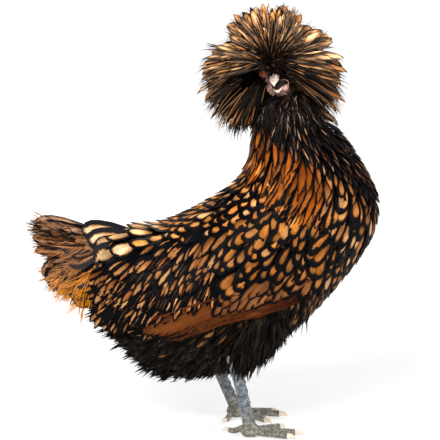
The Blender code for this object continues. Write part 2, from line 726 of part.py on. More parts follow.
def make_crest(others):
    rng = np.random.default_rng(SEED)
    crest = add_object("crest", ellipsoid(CREST_CENTRE, CREST_CORE, segments=16, rings=10), "gold_feather")
    vanes = []
    for path, across in zip(*crest_paths(rng)):
        vanes.append(feather(path, across, CREST_VANE_WIDTH * rng.uniform(0.9, 1.1), VANE_WIDTHS))
    join(crest, vanes)
    face = in_head(ellipsoid((0.018, 0, -0.004), (0.022, 0.020, 0.022), segments=12, rings=8))
    boolean(crest, [face], "DIFFERENCE")
    cut_clear(crest, others, 2 * GAP)
    return crest


def make_beard(others):
    """Flat tapered locks in three tiers that fan from under the beak, bend down and overlap."""
    rng = np.random.default_rng(SEED + 1)
    core = in_head(ellipsoid(BEARD_CORE, (0.0110, 0.0130, 0.0080), segments=12, rings=8))
    beard = add_object("beard", core, "black_feather")
    centre, turn = np.array(HEAD @ Vector(BEARD_CORE)), np.array(HEAD.to_3x3())
    locks, t = [], LOCK_STEPS[:, None]
    for count, ahead in BEARD_TIERS:
        for fan in np.radians(np.linspace(-BEARD_FAN, BEARD_FAN, count) + rng.uniform(-3, 3, count)):
            aim = turn @ np.array([ahead * math.cos(fan), math.sin(fan), -0.75])
            aim /= np.linalg.norm(aim)
            length = BEARD_LENGTH * rng.uniform(0.88, 1.08)
            path = centre + aim * (0.004 + length * t) - np.array([0, 0, 0.009]) * t**2
            locks.append(feather(path, np.cross(aim, (0, 0, 1.0)), BEARD_WIDTH, LOCK_WIDTHS))
    join(beard, locks)
    cut_clear(beard, others)
    return beard


def tail_vanes(rng, count, length, width, start, lift):
    """A fan of feathers on both sides, from near level at the top to hanging at the bottom."""
    vanes, t = [], QUILL_STEPS[:, None]
    for side in SIDE.values():
        for k in range(count):
            share = (k + 0.5 * (side > 0)) / (count - 0.5)
            rise = math.radians(np.interp(share, (0, 1), TAIL_RISE) + rng.uniform(-2, 2))
            splay = math.radians(np.interp(share, (0, 1), TAIL_SPLAY))
            around = math.radians(np.interp(share, (0, 1), (8, 125)))
            out = np.array([0, side * math.sin(around), math.cos(around)])
            root = TAIL_CENTRE + out * (TAIL_CORE * 0.55 + lift) + np.array([start, 0, 0])
            lean = math.radians(np.interp(share, (0, 1), TAIL_LEAN))
            face = np.array([0, side * math.sin(lean), math.cos(lean)])
            aim = np.array([-math.cos(rise) * math.cos(splay), side * math.sin(splay), math.sin(rise)])
            reach = np.interp(share, (0, 0.35, 1), length) * rng.uniform(0.96, 1.04)
            sag = 0.10 * reach * (1 - share)
            path = root + aim * reach * t - np.array([0, 0, sag]) * (t**2 - 0.4 * t) + face * lift * t
            vanes.append(feather(path, np.cross(aim, face), width, QUILL_WIDTHS))
    return vanes


def make_tail(torso):
    rng = np.random.default_rng(SEED + 2)
    tail = add_object("tail", ellipsoid(TAIL_CENTRE, TAIL_CORE, segments=14, rings=10), "rust_feather")
    vanes = tail_vanes(rng, TAIL_VANES, TAIL_LENGTH, TAIL_WIDTH, 0.0, 0.0)
    vanes += tail_vanes(rng, TAIL_COVERTS, TAIL_COVERT_LENGTH, TAIL_COVERT_WIDTH, 0.004, 0.0045)
    join(tail, vanes)
    cut_clear(tail, [torso])
    return tail


def wing_point(along, across):
    """Side-view x and z on the folded wing: along it from shoulder to tip, across it from upper to lower edge."""
    upper, lower = (smooth_rows(edge, along * (len(edge) - 1)) for edge in (WING_TOP, WING_FOOT))
    return np.moveaxis(upper + (lower - upper) * across[..., None], -1, 0)


def on_flank(side, x, z, lift):
    return np.stack([x, SIDE[side] * (flank(x, z) + lift), z], axis=-1)


def wing_vane(side, root, tip, width, lift):
    """A feather on the wing between two places given as along and across, its tip lifted off the plate."""
    t = QUILL_STEPS
    along, across = (root[k] + (tip[k] - root[k]) * t for k in (0, 1))
    x, z = wing_point(along, across)
    path = on_flank(side, x, z, 0.0030 + lift * t)
    beside = on_flank(side, x, z + 0.004, 0.0030 + lift * t)
    return feather(path, beside - path, width, QUILL_WIDTHS)


def make_wing(side, torso, thigh):
    """A plate over the flank, sunk a little into the trunk and cut clear of it, under tiers of vanes."""
    rng = np.random.default_rng(SEED + 3)
    along, across = np.meshgrid(np.linspace(0, WING_PLATE, 11), np.linspace(0, 1, 6), indexing="ij")
    x, z = wing_point(along, across)
    round_off = np.sin(math.pi * along / WING_PLATE) ** 0.5 * np.sin(math.pi * across) ** 0.7
    inner, outer = on_flank(side, x, z, -0.003), on_flank(side, x, z, 0.0018 + 0.0035 * round_off)
    wing = add_object(f"wing_{side}", plate_mesh(inner, outer), "gold_feather")
    vanes = []
    for count, along_roots, across_roots, length, drop, width, lift in WING_TIERS:
        for k in np.linspace(0, 1, count):
            root = (np.interp(k, (0, 1), along_roots), np.interp(k, (0, 1), across_roots))
            tip = (root[0] + length * rng.uniform(0.96, 1.04), root[1] + drop)
            vanes.append(wing_vane(side, root, tip, width, lift))
    join(wing, vanes)
    cut_clear(wing, [torso, thigh])
    return wing


def plate_mesh(inner, outer):
    """A closed plate between two grids of the same size."""
    rows, columns = inner.shape[:2]
    points = np.vstack([inner.reshape(-1, 3), outer.reshape(-1, 3)])
    far = rows * columns
    faces = []
    for i in range(rows - 1):
        for j in range(columns - 1):
            a = i * columns + j
            square = (a, a + 1, a + columns + 1, a + columns)
            faces += [square, tuple(far + k for k in square)]
    rim = [*range(columns), *range(2 * columns - 1, far, columns)]
    rim += [*range(far - 2, far - columns - 1, -1), *range(far - 2 * columns, 0, -columns)]
    for a, b in zip(rim, rim[1:] + rim[:1]):
        faces.append((a, b, far + b, far + a))
    return mesh_from(points, faces)


def centre_on_floor():
    """Moves the whole hen so that its box is centred over the origin, feet on the floor."""
    corners = np.array([np.array(obj.matrix_world @ v.co) for obj in HEN.objects for v in obj.data.vertices])
    middle = (corners.min(axis=0) + corners.max(axis=0)) / 2
    for obj in HEN.objects:
        obj.data.transform(Matrix.Translation((-middle[0], -middle[1], 0)))


def shade(obj):
    obj.data.shade_smooth()
    obj.data.set_sharp_from_angle(angle=math.radians(40))


def make_hen():
    torso, neck = make_trunk()
    head = make_head(neck)
    eyes = make_eyes()
    beaks = make_beak()
    for side in SIDE:
        thigh = make_leg(side, torso)
        make_wing(side, torso, thigh)
    beard = make_beard([head, neck, torso, *beaks])
    make_crest([head, neck, torso, beard, *beaks, *eyes])
    make_tail(torso)
    centre_on_floor()
    for obj in HEN.objects:
        shade(obj)


make_hen()
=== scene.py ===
"""Looks of the standing polish crested hen: skin, plumage, head, legs, floor, light and camera.

Surfaces are worked out with numpy on grids of two parameters, in the hen's own design frame, whose origin is
on the floor under the neck, and moved into the shared frame at the end by SHIFT.

The trunk is a loft: each section stands between a point of the back line and one of the belly line, read from
a smooth curve through the rows of TRUNK, and is a superellipse |height|^p + |side|^p = 1.
A body feather is a strip on that surface: a point at a share v along it and u across it lies at
root + flow * length * v + across * half width * outline(v) * u in the surface's own two parameters, and is
lifted off the surface by a height that grows from the root to the tip, so that each feather covers the next.
A long feather is a strip along a path in space, cambered by -u^2. A crest feather's path runs on a globe away
from the point where the crest parts.
"""

import math

import bpy
import numpy as np
from mathutils import Matrix, Vector


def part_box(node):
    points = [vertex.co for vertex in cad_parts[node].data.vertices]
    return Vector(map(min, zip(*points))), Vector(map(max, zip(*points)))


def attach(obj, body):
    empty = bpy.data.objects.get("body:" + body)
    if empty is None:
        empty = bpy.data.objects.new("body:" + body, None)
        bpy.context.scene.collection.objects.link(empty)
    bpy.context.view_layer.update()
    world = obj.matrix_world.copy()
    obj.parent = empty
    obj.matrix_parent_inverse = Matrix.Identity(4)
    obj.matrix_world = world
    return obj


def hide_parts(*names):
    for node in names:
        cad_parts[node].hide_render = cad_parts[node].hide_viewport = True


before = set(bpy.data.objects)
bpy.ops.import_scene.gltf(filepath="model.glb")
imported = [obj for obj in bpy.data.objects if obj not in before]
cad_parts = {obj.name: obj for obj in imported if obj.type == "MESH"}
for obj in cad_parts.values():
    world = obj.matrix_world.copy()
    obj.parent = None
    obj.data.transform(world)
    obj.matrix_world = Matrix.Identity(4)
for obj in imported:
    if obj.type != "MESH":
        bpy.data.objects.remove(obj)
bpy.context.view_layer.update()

BAKE_PATCH = 0.003  # side of each feather's patch in the bake map
SIDES = {"right": -1.0, "left": 1.0}

# The trunk's outline, tail end to neck top: back line x and z, belly line x and z, half width, sideways bend
TRUNK = np.array(
    [
        [-0.135, 0.179, -0.139, 0.155, 0.010, 0.000],  # tail end
        [-0.123, 0.207, -0.132, 0.125, 0.038, 0.000],  # rump
        [-0.095, 0.219, -0.105, 0.092, 0.056, 0.000],  # vent
        [-0.058, 0.2245, -0.067, 0.061, 0.069, 0.000],  # loin
        [-0.016, 0.2440, -0.004, 0.0595, 0.074, 0.000],  # back
        [0.0165, 0.2665, 0.052, 0.0870, 0.074, 0.000],  # saddle and keel
        [0.0295, 0.288, 0.107, 0.1345, 0.069, 0.000],  # low breast
        [0.0325, 0.307, 0.158, 0.201, 0.061, 0.000],  # breast
        [0.033, 0.322, 0.166, 0.250, 0.052, -0.001],  # neck base
        [0.034, 0.338, 0.142, 0.297, 0.042, -0.006],  # neck
        [0.042, 0.356, 0.112, 0.337, 0.033, -0.014],  # neck top
    ]
)
ROUNDNESS = 2.15  # superellipse power
BELLY_TAPER = 0.28  # how much narrower the trunk is near its belly line
TOP_ROW = len(TRUNK) - 1
COAT_DEPTH = 0.0070  # from the skin to the tips of the body feathers

HEAD_CENTRE = Vector((0.0632, -0.0232, 0.3826))
HEAD_YAW, HEAD_PITCH, HEAD_ROLL = math.radians(-106.9), math.radians(19.5), math.radians(18)
EYE_PLACE = Vector((0.0055, 0.0165, 0.0042))
EYE_RADIUS = 0.0054
EYE_HOLLOW = (0.007, 0.015, 0.0065)  # in the skin round an eye: full within, gone past, and its depth
SKULL = (  # forward place, half width, top and bottom height in the head's frame
    (-0.0215, 0.0058, 0.008, -0.006),
    (-0.0180, 0.0122, 0.014, -0.013),
    (-0.0100, 0.0165, 0.017, -0.016),
    (0.0000, 0.0180, 0.0172, -0.0160),
    (0.0080, 0.0160, 0.0140, -0.0145),
    (0.0138, 0.0102, 0.0084, -0.0126),
)
NECK_RINGS = (0.9, -0.3), (0.7, 0.2), (0.45, 0.7), (0.3, 1.0)  # size, and rise from the trunk to the throat

CREST_CENTRE = np.array([0.0535, -0.0080, 0.3875])
CREST_CORE = np.array([0.030, 0.027, 0.028])
CREST_POLE = np.array([-0.030, -0.987, 0.160])
CREST_SPAN = 0.0720

TAIL_CENTRE = np.array([-0.124, 0.0, 0.190])
TAIL_CORE = np.array([0.034, 0.023, 0.028])

# The folded wing's upper and lower edge from shoulder to tip, as side-view x and z
WING_TOP = np.array(
    [[0.108, 0.196], [0.088, 0.226], [0.040, 0.226], [-0.010, 0.199], [-0.054, 0.161], [-0.080, 0.132]]
)
WING_FOOT = np.array(
    [[0.108, 0.180], [0.082, 0.158], [0.042, 0.144], [0.000, 0.133], [-0.038, 0.120], [-0.078, 0.109]]
)
FLIGHT_LINE = np.array(  # middle of the top flight feather, from root to tip
    [[0.092, 0.166], [0.060, 0.157], [0.028, 0.149], [-0.010, 0.1415], [-0.045, 0.1285], [-0.0790, 0.1150]]
)
WING_HANG = -0.30  # below this height in the trunk's section the wing hangs straight down
COVERT_SLOPE = 52  # degrees

HOCK = {"right": np.array([0.0155, -0.042, 0.080]), "left": np.array([-0.0135, 0.037, 0.078])}
ANKLE = {"right": np.array([0.0310, -0.042, 0.010]), "left": np.array([0.0170, 0.031, 0.010])}
THIGH = np.array(  # from the hip to the hock: x, outwards and z from the hock, and radius
    [
        [0.034, 0.002, 0.062, 0.017],
        [0.029, 0.002, 0.048, 0.026],
        [0.021, 0.002, 0.030, 0.027],
        [0.012, 0.001, 0.012, 0.021],
        [0.006, 0.000, 0.000, 0.0115],
    ]
)
LOWEST_DOWN = 0.052  # height above the floor
SHANK_RADIUS = 0.0058
TOES = {
    "inner": (-37, 0.040, 0.0047),
    "middle": (-2, 0.048, 0.0051),
    "outer": (15, 0.041, 0.0046),
    "hind": (180, 0.025, 0.0038),
}
HIND_TURN = {"right": -33, "left": -64}  # how far each hind toe turns inwards, in degrees
CLAW_LENGTH = 0.0095

# Plumage colours, linear
GOLD = np.array([0.47, 0.205, 0.066])
AMBER = np.array([0.34, 0.092, 0.008])
CREAM = np.array([0.80, 0.52, 0.28])
CREST_GOLD = np.array([0.62, 0.25, 0.065])
TAIL_TAN = np.array([0.40, 0.19, 0.085])
TAIL_TOP = np.array([0.44, 0.245, 0.140])
RUST = np.array([0.125, 0.042, 0.012])
RUST_GOLD = np.array([0.29, 0.112, 0.036])
TAN = np.array([0.44, 0.27, 0.14])
PALE_HAIR = np.array([0.46, 0.34, 0.23])
FLESH_BROWN = np.array([0.26, 0.15, 0.12])
PINK = np.array([0.66, 0.40, 0.34])
# brown of the crest's hair edges, partly a painted sheen on dark hairs
CREST_BROWN_AND_SHEEN = np.array([0.135, 0.090, 0.062])
CREST_BLACK = np.array([0.0060, 0.0048, 0.0045])
WISP_BROWN = np.array([0.055, 0.038, 0.029])
WHORL_BROWN = np.array([0.026, 0.017, 0.013])
HAIR_BROWN = np.array([0.016, 0.012, 0.010])
BLACK = np.array([0.0020, 0.0018, 0.0023])
SOOT = np.array([0.0066, 0.0048, 0.0036])
AMBER_CAST, PALE_CAST = (1.20, 1.00, 0.50), (0.95, 1.00, 1.10)  # factors between which feathers vary
# The darker streaks of a patch are partly the feather's own and partly painted shade.
DEEPEN = (0.46, 0.34, 0.22)  # what the darker streaks of a patch keep of its ground colour

# Places along a feather and its half width there
ROUND = (0, 0.34, 0.60, 0.78, 0.90, 0.97, 1.0), (0.45, 0.86, 1.0, 0.96, 0.74, 0.42, 0.06)
POINTED = (0, 0.30, 0.58, 0.78, 0.91, 1.0), (0.50, 0.90, 1.0, 0.72, 0.38, 0.04)
LANCET = (0, 0.28, 0.54, 0.74, 0.88, 0.96, 1.0), (0.45, 0.80, 1.0, 0.95, 0.66, 0.30, 0.03)
SPEAR = (0, 0.28, 0.52, 0.70, 0.84, 0.94, 1), (0.45, 0.82, 1, 0.88, 0.54, 0.21, 0.02)
LOCK = (0, 0.35, 0.70, 1.0), (0.80, 1.0, 0.62, 0.05)
LOCK_STEPS = np.array(LOCK[0])

WHOLE = (2.0, -1.0, 2.0)  # half width, start and end of a patch that fills its feather
BARE = 0.04  # half width of the patch of a feather that shows hardly any


# Arithmetic on shader sockets


def feed(tree, socket, term):
    """Links a value to a socket, or sets the socket to a number, colour or vector."""
    if isinstance(term, Value):
        tree.links.new(term.socket, socket)
    elif socket.type == "RGBA":
        socket.default_value = (*term[:3], 1.0)
    else:
        socket.default_value = term


class Value:
    """A shader socket that takes part in arithmetic, each operation adding its Math node."""

    def __init__(self, tree, socket):
        self.tree = tree
        self.socket = socket

    def math(self, operation, *terms):
        node = self.tree.nodes.new("ShaderNodeMath")
        node.operation = operation
        for socket, term in zip(node.inputs, terms):
            feed(self.tree, socket, term)
        return Value(self.tree, node.outputs[0])

    def __add__(self, other):
        return self.math("ADD", self, other)

    def __radd__(self, other):
        return self.math("ADD", other, self)

    def __sub__(self, other):
        return self.math("SUBTRACT", self, other)

    def __rsub__(self, other):
        return self.math("SUBTRACT", other, self)

    def __mul__(self, other):
        return self.math("MULTIPLY", self, other)

    def __rmul__(self, other):
        return self.math("MULTIPLY", other, self)

    def __truediv__(self, other):
        return self.math("DIVIDE", self, other)

    def __pow__(self, other):
        return self.math("POWER", self, other)

    def __abs__(self):
        return self.math("ABSOLUTE", self)


class Finish:
    """A material with one Principled shader. Constants are set on the shader's own sockets."""

    def __init__(self, name, **constants):
        self.material = bpy.data.materials.new(name)
        self.material.use_nodes = True
        self.tree = self.material.node_tree
        self.shader = self.tree.nodes["Principled BSDF"]
        for socket, value in constants.items():
            self.set(socket.replace("_", " ").title().replace("Ior", "IOR"), value)

    def set(self, socket, term):
        feed(self.tree, self.shader.inputs[socket], term)

    def node(self, kind, settings, values, output=0):
        """Any node: its settings first, then the values or links of its sockets."""
        node = self.tree.nodes.new(kind)
        for key, setting in settings.items():
            setattr(node, key, setting)
        for key, term in values.items():
            feed(self.tree, node.inputs[key], term)
        return Value(self.tree, node.outputs[output])

    def parts(self, vector):
        node = self.tree.nodes.new("ShaderNodeSeparateXYZ")
        feed(self.tree, node.inputs[0], vector)
        return [Value(self.tree, socket) for socket in node.outputs]

    def vector(self, x, y, z):
        return self.node("ShaderNodeCombineXYZ", {}, {0: x, 1: y, 2: z})

    def uv(self, name):
        return self.parts(self.node("ShaderNodeUVMap", {"uv_map": name}, {}))

    def attribute(self, name, output=0):
        return self.node("ShaderNodeAttribute", {"attribute_name": name}, {}, output)

    def place(self):
        return self.node("ShaderNodeTexCoord", {}, {}, 3)

    def noise(self, vector, scale, detail=2.0):
        return self.node("ShaderNodeTexNoise", {}, {"Vector": vector, "Scale": scale, "Detail": detail})

    def cells(self, vector, scale):
        """Distance to the nearest border of a cell."""
        settings = {"feature": "DISTANCE_TO_EDGE"}
        return self.node("ShaderNodeTexVoronoi", settings, {"Vector": vector, "Scale": scale})

    def ease(self, value, low, high):
        """0 below low, 1 above high, and a smooth step between them."""
        values = {"Value": value, "From Min": low, "From Max": high}
        return self.node("ShaderNodeMapRange", {"interpolation_type": "SMOOTHSTEP"}, values)

    def blend(self, first, second, share):
        """A colour between two."""
        return self.node("ShaderNodeMix", {"data_type": "RGBA"}, {0: share, 6: first, 7: second}, 2)

    def scaled(self, colour, amount):
        """A colour made brighter or darker by a value."""
        return self.node("ShaderNodeVectorMath", {"operation": "SCALE"}, {0: colour, 3: amount})

    def bump(self, height, strength, distance):
        values = {"Strength": strength, "Distance": distance, "Height": height}
        self.set("Normal", self.node("ShaderNodeBump", {}, values))


def make_plumage(name, root_share):
    """Feather finish: inside a drop-shaped patch the ground colour, outside it the edge colour. The drop is
    (side / half width)^2.4 + ((v - middle) / half length)^2.6 = 1 in the feather's own map. Its half width
    grows from the root's share of it to 1.08, and its border is frayed along the barbs."""
    f = Finish(name, specular_ior_level=0.035)
    across, along, _ = f.uv("feather")
    side = abs(across * 2.0 - 1.0)
    ground, edge = f.attribute("ground"), f.attribute("edge")
    half, first, last = f.parts(f.attribute("lace", 1))
    seed = f.attribute("seed", 2)
    barb = along - side * 0.16
    fibre = f.noise(f.vector(barb * 46.0, side * 1.6, seed * 37.0), 1.0)
    blotch = f.noise(f.vector(along * 2.4, across * 2.0, seed * 61.0), 1.0, 1.0)
    middle, length = (first + last) * 0.5, (last - first) * 0.5
    drop = half * (root_share + (1.08 - root_share) * f.ease(along, first, last))
    oval = (side / drop) ** 2.4 + (abs(along - middle) / length) ** 2.6 + (fibre - 0.5) * 1.5
    patch = 1.0 - f.ease(oval, 0.62, 1.22)
    # glow: lighter streaks and a lighter far end of each patch, partly the feather's own streaks and partly a
    # painted highlight.
    glow = f.ease(fibre * 0.75 + blotch * 0.65 + (along - middle) * 0.5 - oval * 0.28, 0.40, 0.86)
    deep = f.node("ShaderNodeVectorMath", {"operation": "MULTIPLY"}, {0: ground, 1: DEEPEN})
    warm = f.scaled(f.blend(deep, ground, glow), 0.85 + blotch * 0.5)
    dark = f.scaled(edge, 0.6 + fibre * 0.8)
    shaft = 1.0 - f.ease(side, 0.02, 0.07)
    f.set("Base Color", f.scaled(f.blend(dark, warm, patch), 1.0 - shaft * 0.25))
    f.set("Roughness", 0.38 + patch * 0.16)
    f.bump(fibre - shaft * 0.6, 0.45, 0.0006)
    return f.material


def mottled(name, first, second, scale, bump=0.0, span=None, detail=3.0, **constants):
    """A finish that varies between two colours with a noise, or with a smooth step over a span of it."""
    f = Finish(name, **constants)
    tone = f.noise(f.place(), scale, detail)
    f.set("Base Color", f.blend(first, second, f.ease(tone, *span) if span else tone))
    if bump:
        f.bump(tone, bump, 0.0006)
    return f.material


# Meshes from grids


HEAD = (
    Matrix.Translation(HEAD_CENTRE)
    @ Matrix.Rotation(HEAD_YAW, 4, "Z")
    @ Matrix.Rotation(HEAD_PITCH, 4, "Y")
    @ Matrix.Rotation(HEAD_ROLL, 4, "X")
)
HEAD_TURN = np.array(HEAD.to_3x3())
RIGHT_EYE = HEAD @ Vector((EYE_PLACE.x, EYE_PLACE.y * SIDES["right"], EYE_PLACE.z))
EYE_BOX = [Vector(corner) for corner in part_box("eye_right")]
SHIFT = np.array((EYE_BOX[0] + EYE_BOX[1]) / 2 - RIGHT_EYE)  # from the design frame to the shared one


def unit(vectors):
    return vectors / np.maximum(np.linalg.norm(vectors, axis=-1, keepdims=True), 1e-12)


def ease(x, low, high):
    t = np.clip((x - low) / (high - low), 0, 1)
    return t * t * (3 - 2 * t)


def mix(a, b, share):
    a, b = np.asarray(a, float), np.asarray(b, float)
    share = np.asarray(share, float)
    return a + (b - a) * (share[..., None] if b.ndim and b.shape[-1:] == (3,) and share.ndim else share)


def circle(sides, more=0):
    """Angles evenly round a circle, with the first of them again at the end where asked."""
    return np.arange(sides + more) * 2 * math.pi / sides


def stacked(*parts):
    """Arrays and numbers side by side on a new last axis."""
    return np.stack(np.broadcast_arrays(*parts), axis=-1)


def turned(angle, first, second):
    """first cos(angle) + second sin(angle)"""
    return np.cos(angle)[..., None] * first + np.sin(angle)[..., None] * second


def rays(root, aim, reach):
    """Straight paths root + aim * reach."""
    return root[..., None, :] + aim[..., None, :] * reach[..., None]


def direction(turn, tip):
    """Directions by their turn round the first axis and their angle from it."""
    return stacked(np.cos(tip), np.sin(tip) * np.cos(turn), np.sin(tip) * np.sin(turn))


def wrapped(angle):
    """Angles between minus and plus half a turn."""
    return (angle + math.pi) % (2 * math.pi) - math.pi


def grid_faces(patches, rows, columns, closed=False):
    """Quads of equal grids laid end to end, with the last column joined to the first where closed."""
    i, j = np.meshgrid(np.arange(rows - 1), np.arange(columns - (not closed)), indexing="ij")
    right = (j + 1) % columns
    quad = stacked(i * columns + j, (i + 1) * columns + j, (i + 1) * columns + right, i * columns + right)
    start = np.arange(patches)[:, None, None] * rows * columns
    return (quad.reshape(1, -1, 4) + start).reshape(-1, 4)


def linked(name, data):
    """A new object of the scene."""
    obj = bpy.data.objects.new(name, data)
    bpy.context.scene.collection.objects.link(obj)
    return obj


def skin_map(points):
    """An unwrap by place along the body and up it."""
    low, high = points.min(axis=0), points.max(axis=0)
    return ((points - low) / (high - low) * 0.96 + 0.02)[:, [0, 2]]


FACT_KINDS = {(): ("FLOAT", "value"), (3,): ("FLOAT_VECTOR", "vector"), (4,): ("FLOAT_COLOR", "color")}


def add_piece(name, shape, material, replaced=(), uvs=None, facts=None):
    """A piece of the hen, in place, from points and faces, with its maps and per-point facts."""
    points, faces = shape
    mesh = bpy.data.meshes.new(name)
    mesh.from_pydata((points + SHIFT).tolist(), [], faces)
    corners = np.empty(len(mesh.loops), np.int32)
    mesh.loops.foreach_get("vertex_index", corners)
    for label, uv in (uvs or {"OFBake": skin_map(points)}).items():
        layer = mesh.uv_layers.new(name=label)
        layer.uv.foreach_set("vector", np.ascontiguousarray(uv[corners], np.float32).ravel())
    for label, values in (facts or {}).items():
        kind, key = FACT_KINDS[values.shape[1:]]
        mesh.attributes.new(label, kind, "POINT").data.foreach_set(key, values.astype(np.float32).ravel())
    mesh.materials.append(material)
    mesh.shade_smooth()
    obj = linked(name, mesh)
    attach(obj, "root")
    if replaced:
        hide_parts(*replaced)


def plumes(rng, grid, steps, bake, ground, edge, lace):
    """A batch of feathers: their grids, the places of a grid's rows along its feather, and their facts."""
    facts = {"ground": ground, "edge": edge, "lace": lace, "seed": rng.uniform(0, 1, len(grid))}
    return {"grid": grid, "steps": steps, "bake": bake, **facts}


def hairs(rng, path, across, width, bake, ground, edge, lace=WHOLE):
    """A batch of narrow locks along paths."""
    return plumes(rng, strips(path, across, width, LOCK), LOCK_STEPS, bake, ground, edge, lace)


def add_feathers(name, batches, material, replaced=()):
    """One piece from batches of feathers."""
    points, faces, feather, bake, start = [], [], [], [], 0
    facts = {"ground": [], "edge": [], "lace": [], "seed": []}
    for batch in batches:
        grid = batch["grid"]
        count, rows, columns = grid.shape[:3]
        if not count:
            continue
        local = stacked(*np.meshgrid(np.linspace(0, 1, columns), batch["steps"]))
        local = np.broadcast_to(local, (count, rows, columns, 2))
        points.append(grid.reshape(-1, 3))
        faces.append(grid_faces(count, rows, columns) + start)
        feather.append(local.reshape(-1, 2))
        bake.append((batch["bake"][:, None, None] + (local - 0.5) * BAKE_PATCH).reshape(-1, 2))
        for key, store in facts.items():
            value = np.asarray(batch[key], float)
            if key != "seed":
                value = np.broadcast_to(value, (count, 3))
            if key in ("ground", "edge"):
                value = np.column_stack([value, np.ones(count)])
            store.append(np.repeat(value, rows * columns, axis=0))
        start += count * rows * columns
    shape = np.concatenate(points), np.concatenate(faces).tolist()
    uvs = {"feather": np.concatenate(feather), "OFBake": np.concatenate(bake)}
    facts = {key: np.concatenate(store) for key, store in facts.items()}
    add_piece(name, shape, material, replaced, uvs, facts)


# The trunk


def smooth_rows(rows, at):
    """A Catmull-Rom curve through the rows of a table, read at fractional row numbers."""
    padded = np.vstack([2 * rows[0] - rows[1], rows, 2 * rows[-1] - rows[-2]])
    at = np.clip(np.asarray(at, float), 0, len(rows) - 1)
    k = np.minimum(at.astype(int), len(rows) - 2)
    t = (at - k)[..., None]
    a, b, c, d = (padded[k + i] for i in range(4))
    curve = 2 * b + (c - a) * t + (2 * a - 5 * b + 4 * c - d) * t**2 + (3 * b - a - 3 * c + d) * t**3
    return curve / 2


def trunk_section(row):
    """The trunk's table at row numbers: back x and z, belly x and z, half width and bend."""
    return np.moveaxis(smooth_rows(TRUNK, row), -1, 0)


def power(x, exponent):
    """A power of x's size with x's sign."""
    return np.sign(x) * np.abs(x) ** exponent


def trunk_at(row, angle):
    """The trunk's surface at row numbers and at angles from the back line towards the hen's right."""
    row, angle = np.broadcast_arrays(np.asarray(row, float), np.asarray(angle, float))
    back_x, back_z, belly_x, belly_z, half, bend = trunk_section(row)
    up = stacked(back_x - belly_x, 0, back_z - belly_z) / 2
    middle = stacked((back_x + belly_x) / 2, bend, (back_z + belly_z) / 2)
    c = np.cos(angle)
    out = power(np.sin(angle), 2 / ROUNDNESS) * (1 - BELLY_TAPER * np.clip(-c, 0, 1))
    points = middle + up * power(c, 2 / ROUNDNESS)[..., None]
    points[..., 1] -= half * out
    return points


def trunk_row(x, z):
    """The row whose section passes through points of the trunk's side view."""
    low, high = np.zeros(np.shape(x)), np.full(np.shape(x), float(TOP_ROW))
    for _ in range(22):
        row = (low + high) / 2
        back_x, back_z, belly_x, belly_z, _, _ = trunk_section(row)
        ahead = (back_x - belly_x) * (z - belly_z) < (back_z - belly_z) * (x - belly_x)
        low, high = np.where(ahead, row, low), np.where(ahead, high, row)
    return row


def trunk_place(x, z):
    """For points of the side view: height in their section, its middle, half width, bend and row."""
    row = trunk_row(x, z)
    back_x, back_z, belly_x, belly_z, half, bend = trunk_section(row)
    side_x, side_z = back_x - belly_x, back_z - belly_z
    height = ((x - belly_x) * side_x + (z - belly_z) * side_z) / (side_x**2 + side_z**2)
    middle = stacked((back_x + belly_x) / 2, bend, (back_z + belly_z) / 2)
    return 2 * height - 1, middle, half, bend, row


def flank(x, z):
    """How far the wing's bed reaches sideways at points of the side view: the trunk's own width, and straight
    down from the lower part of its side."""
    height, _, half, _, _ = trunk_place(x, z)
    c = power(np.clip(height, WING_HANG, 1), ROUNDNESS / 2)
    return half * (1 - c * c) ** (1 / ROUNDNESS) * (1 - BELLY_TAPER * np.clip(-c, 0, 1))


def outside_trunk(points, margin):
    """Points moved out of the trunk, to a distance from it given as a share of its half width."""
    height, middle, half, bend, row = trunk_place(points[..., 0], points[..., 2])
    side = np.abs((points[..., 1] - bend) / half)
    reach = (np.abs(height) ** ROUNDNESS + side**ROUNDNESS) ** (1 / ROUNDNESS)
    within = (row < TOP_ROW - 0.001) & (reach > 0.3)
    grow = np.where(within, np.maximum((1 + margin) / np.maximum(reach, 0.3), 1), 1)
    return middle + (points - middle) * grow[..., None]


# Laying feathers on a surface


def slopes(surface, a, b, step=1e-3):
    """How the surface's points change with each of its parameters."""
    along_a = (surface(a + step, b) - surface(a - step, b)) / (2 * step)
    along_b = (surface(a, b + step) - surface(a, b - step)) / (2 * step)
    return along_a, along_b


def tangent_steps(along_a, along_b, vectors):
    """The steps in the surface's two parameters that move a point by vectors in its tangent plane."""
    aa, ab, bb = ((p * q).sum(-1) for p, q in ((along_a, along_a), (along_a, along_b), (along_b, along_b)))
    va, vb = (vectors * along_a).sum(-1), (vectors * along_b).sum(-1)
    whole = aa * bb - ab * ab
    return (va * bb - vb * ab) / whole, (vb * aa - va * ab) / whole


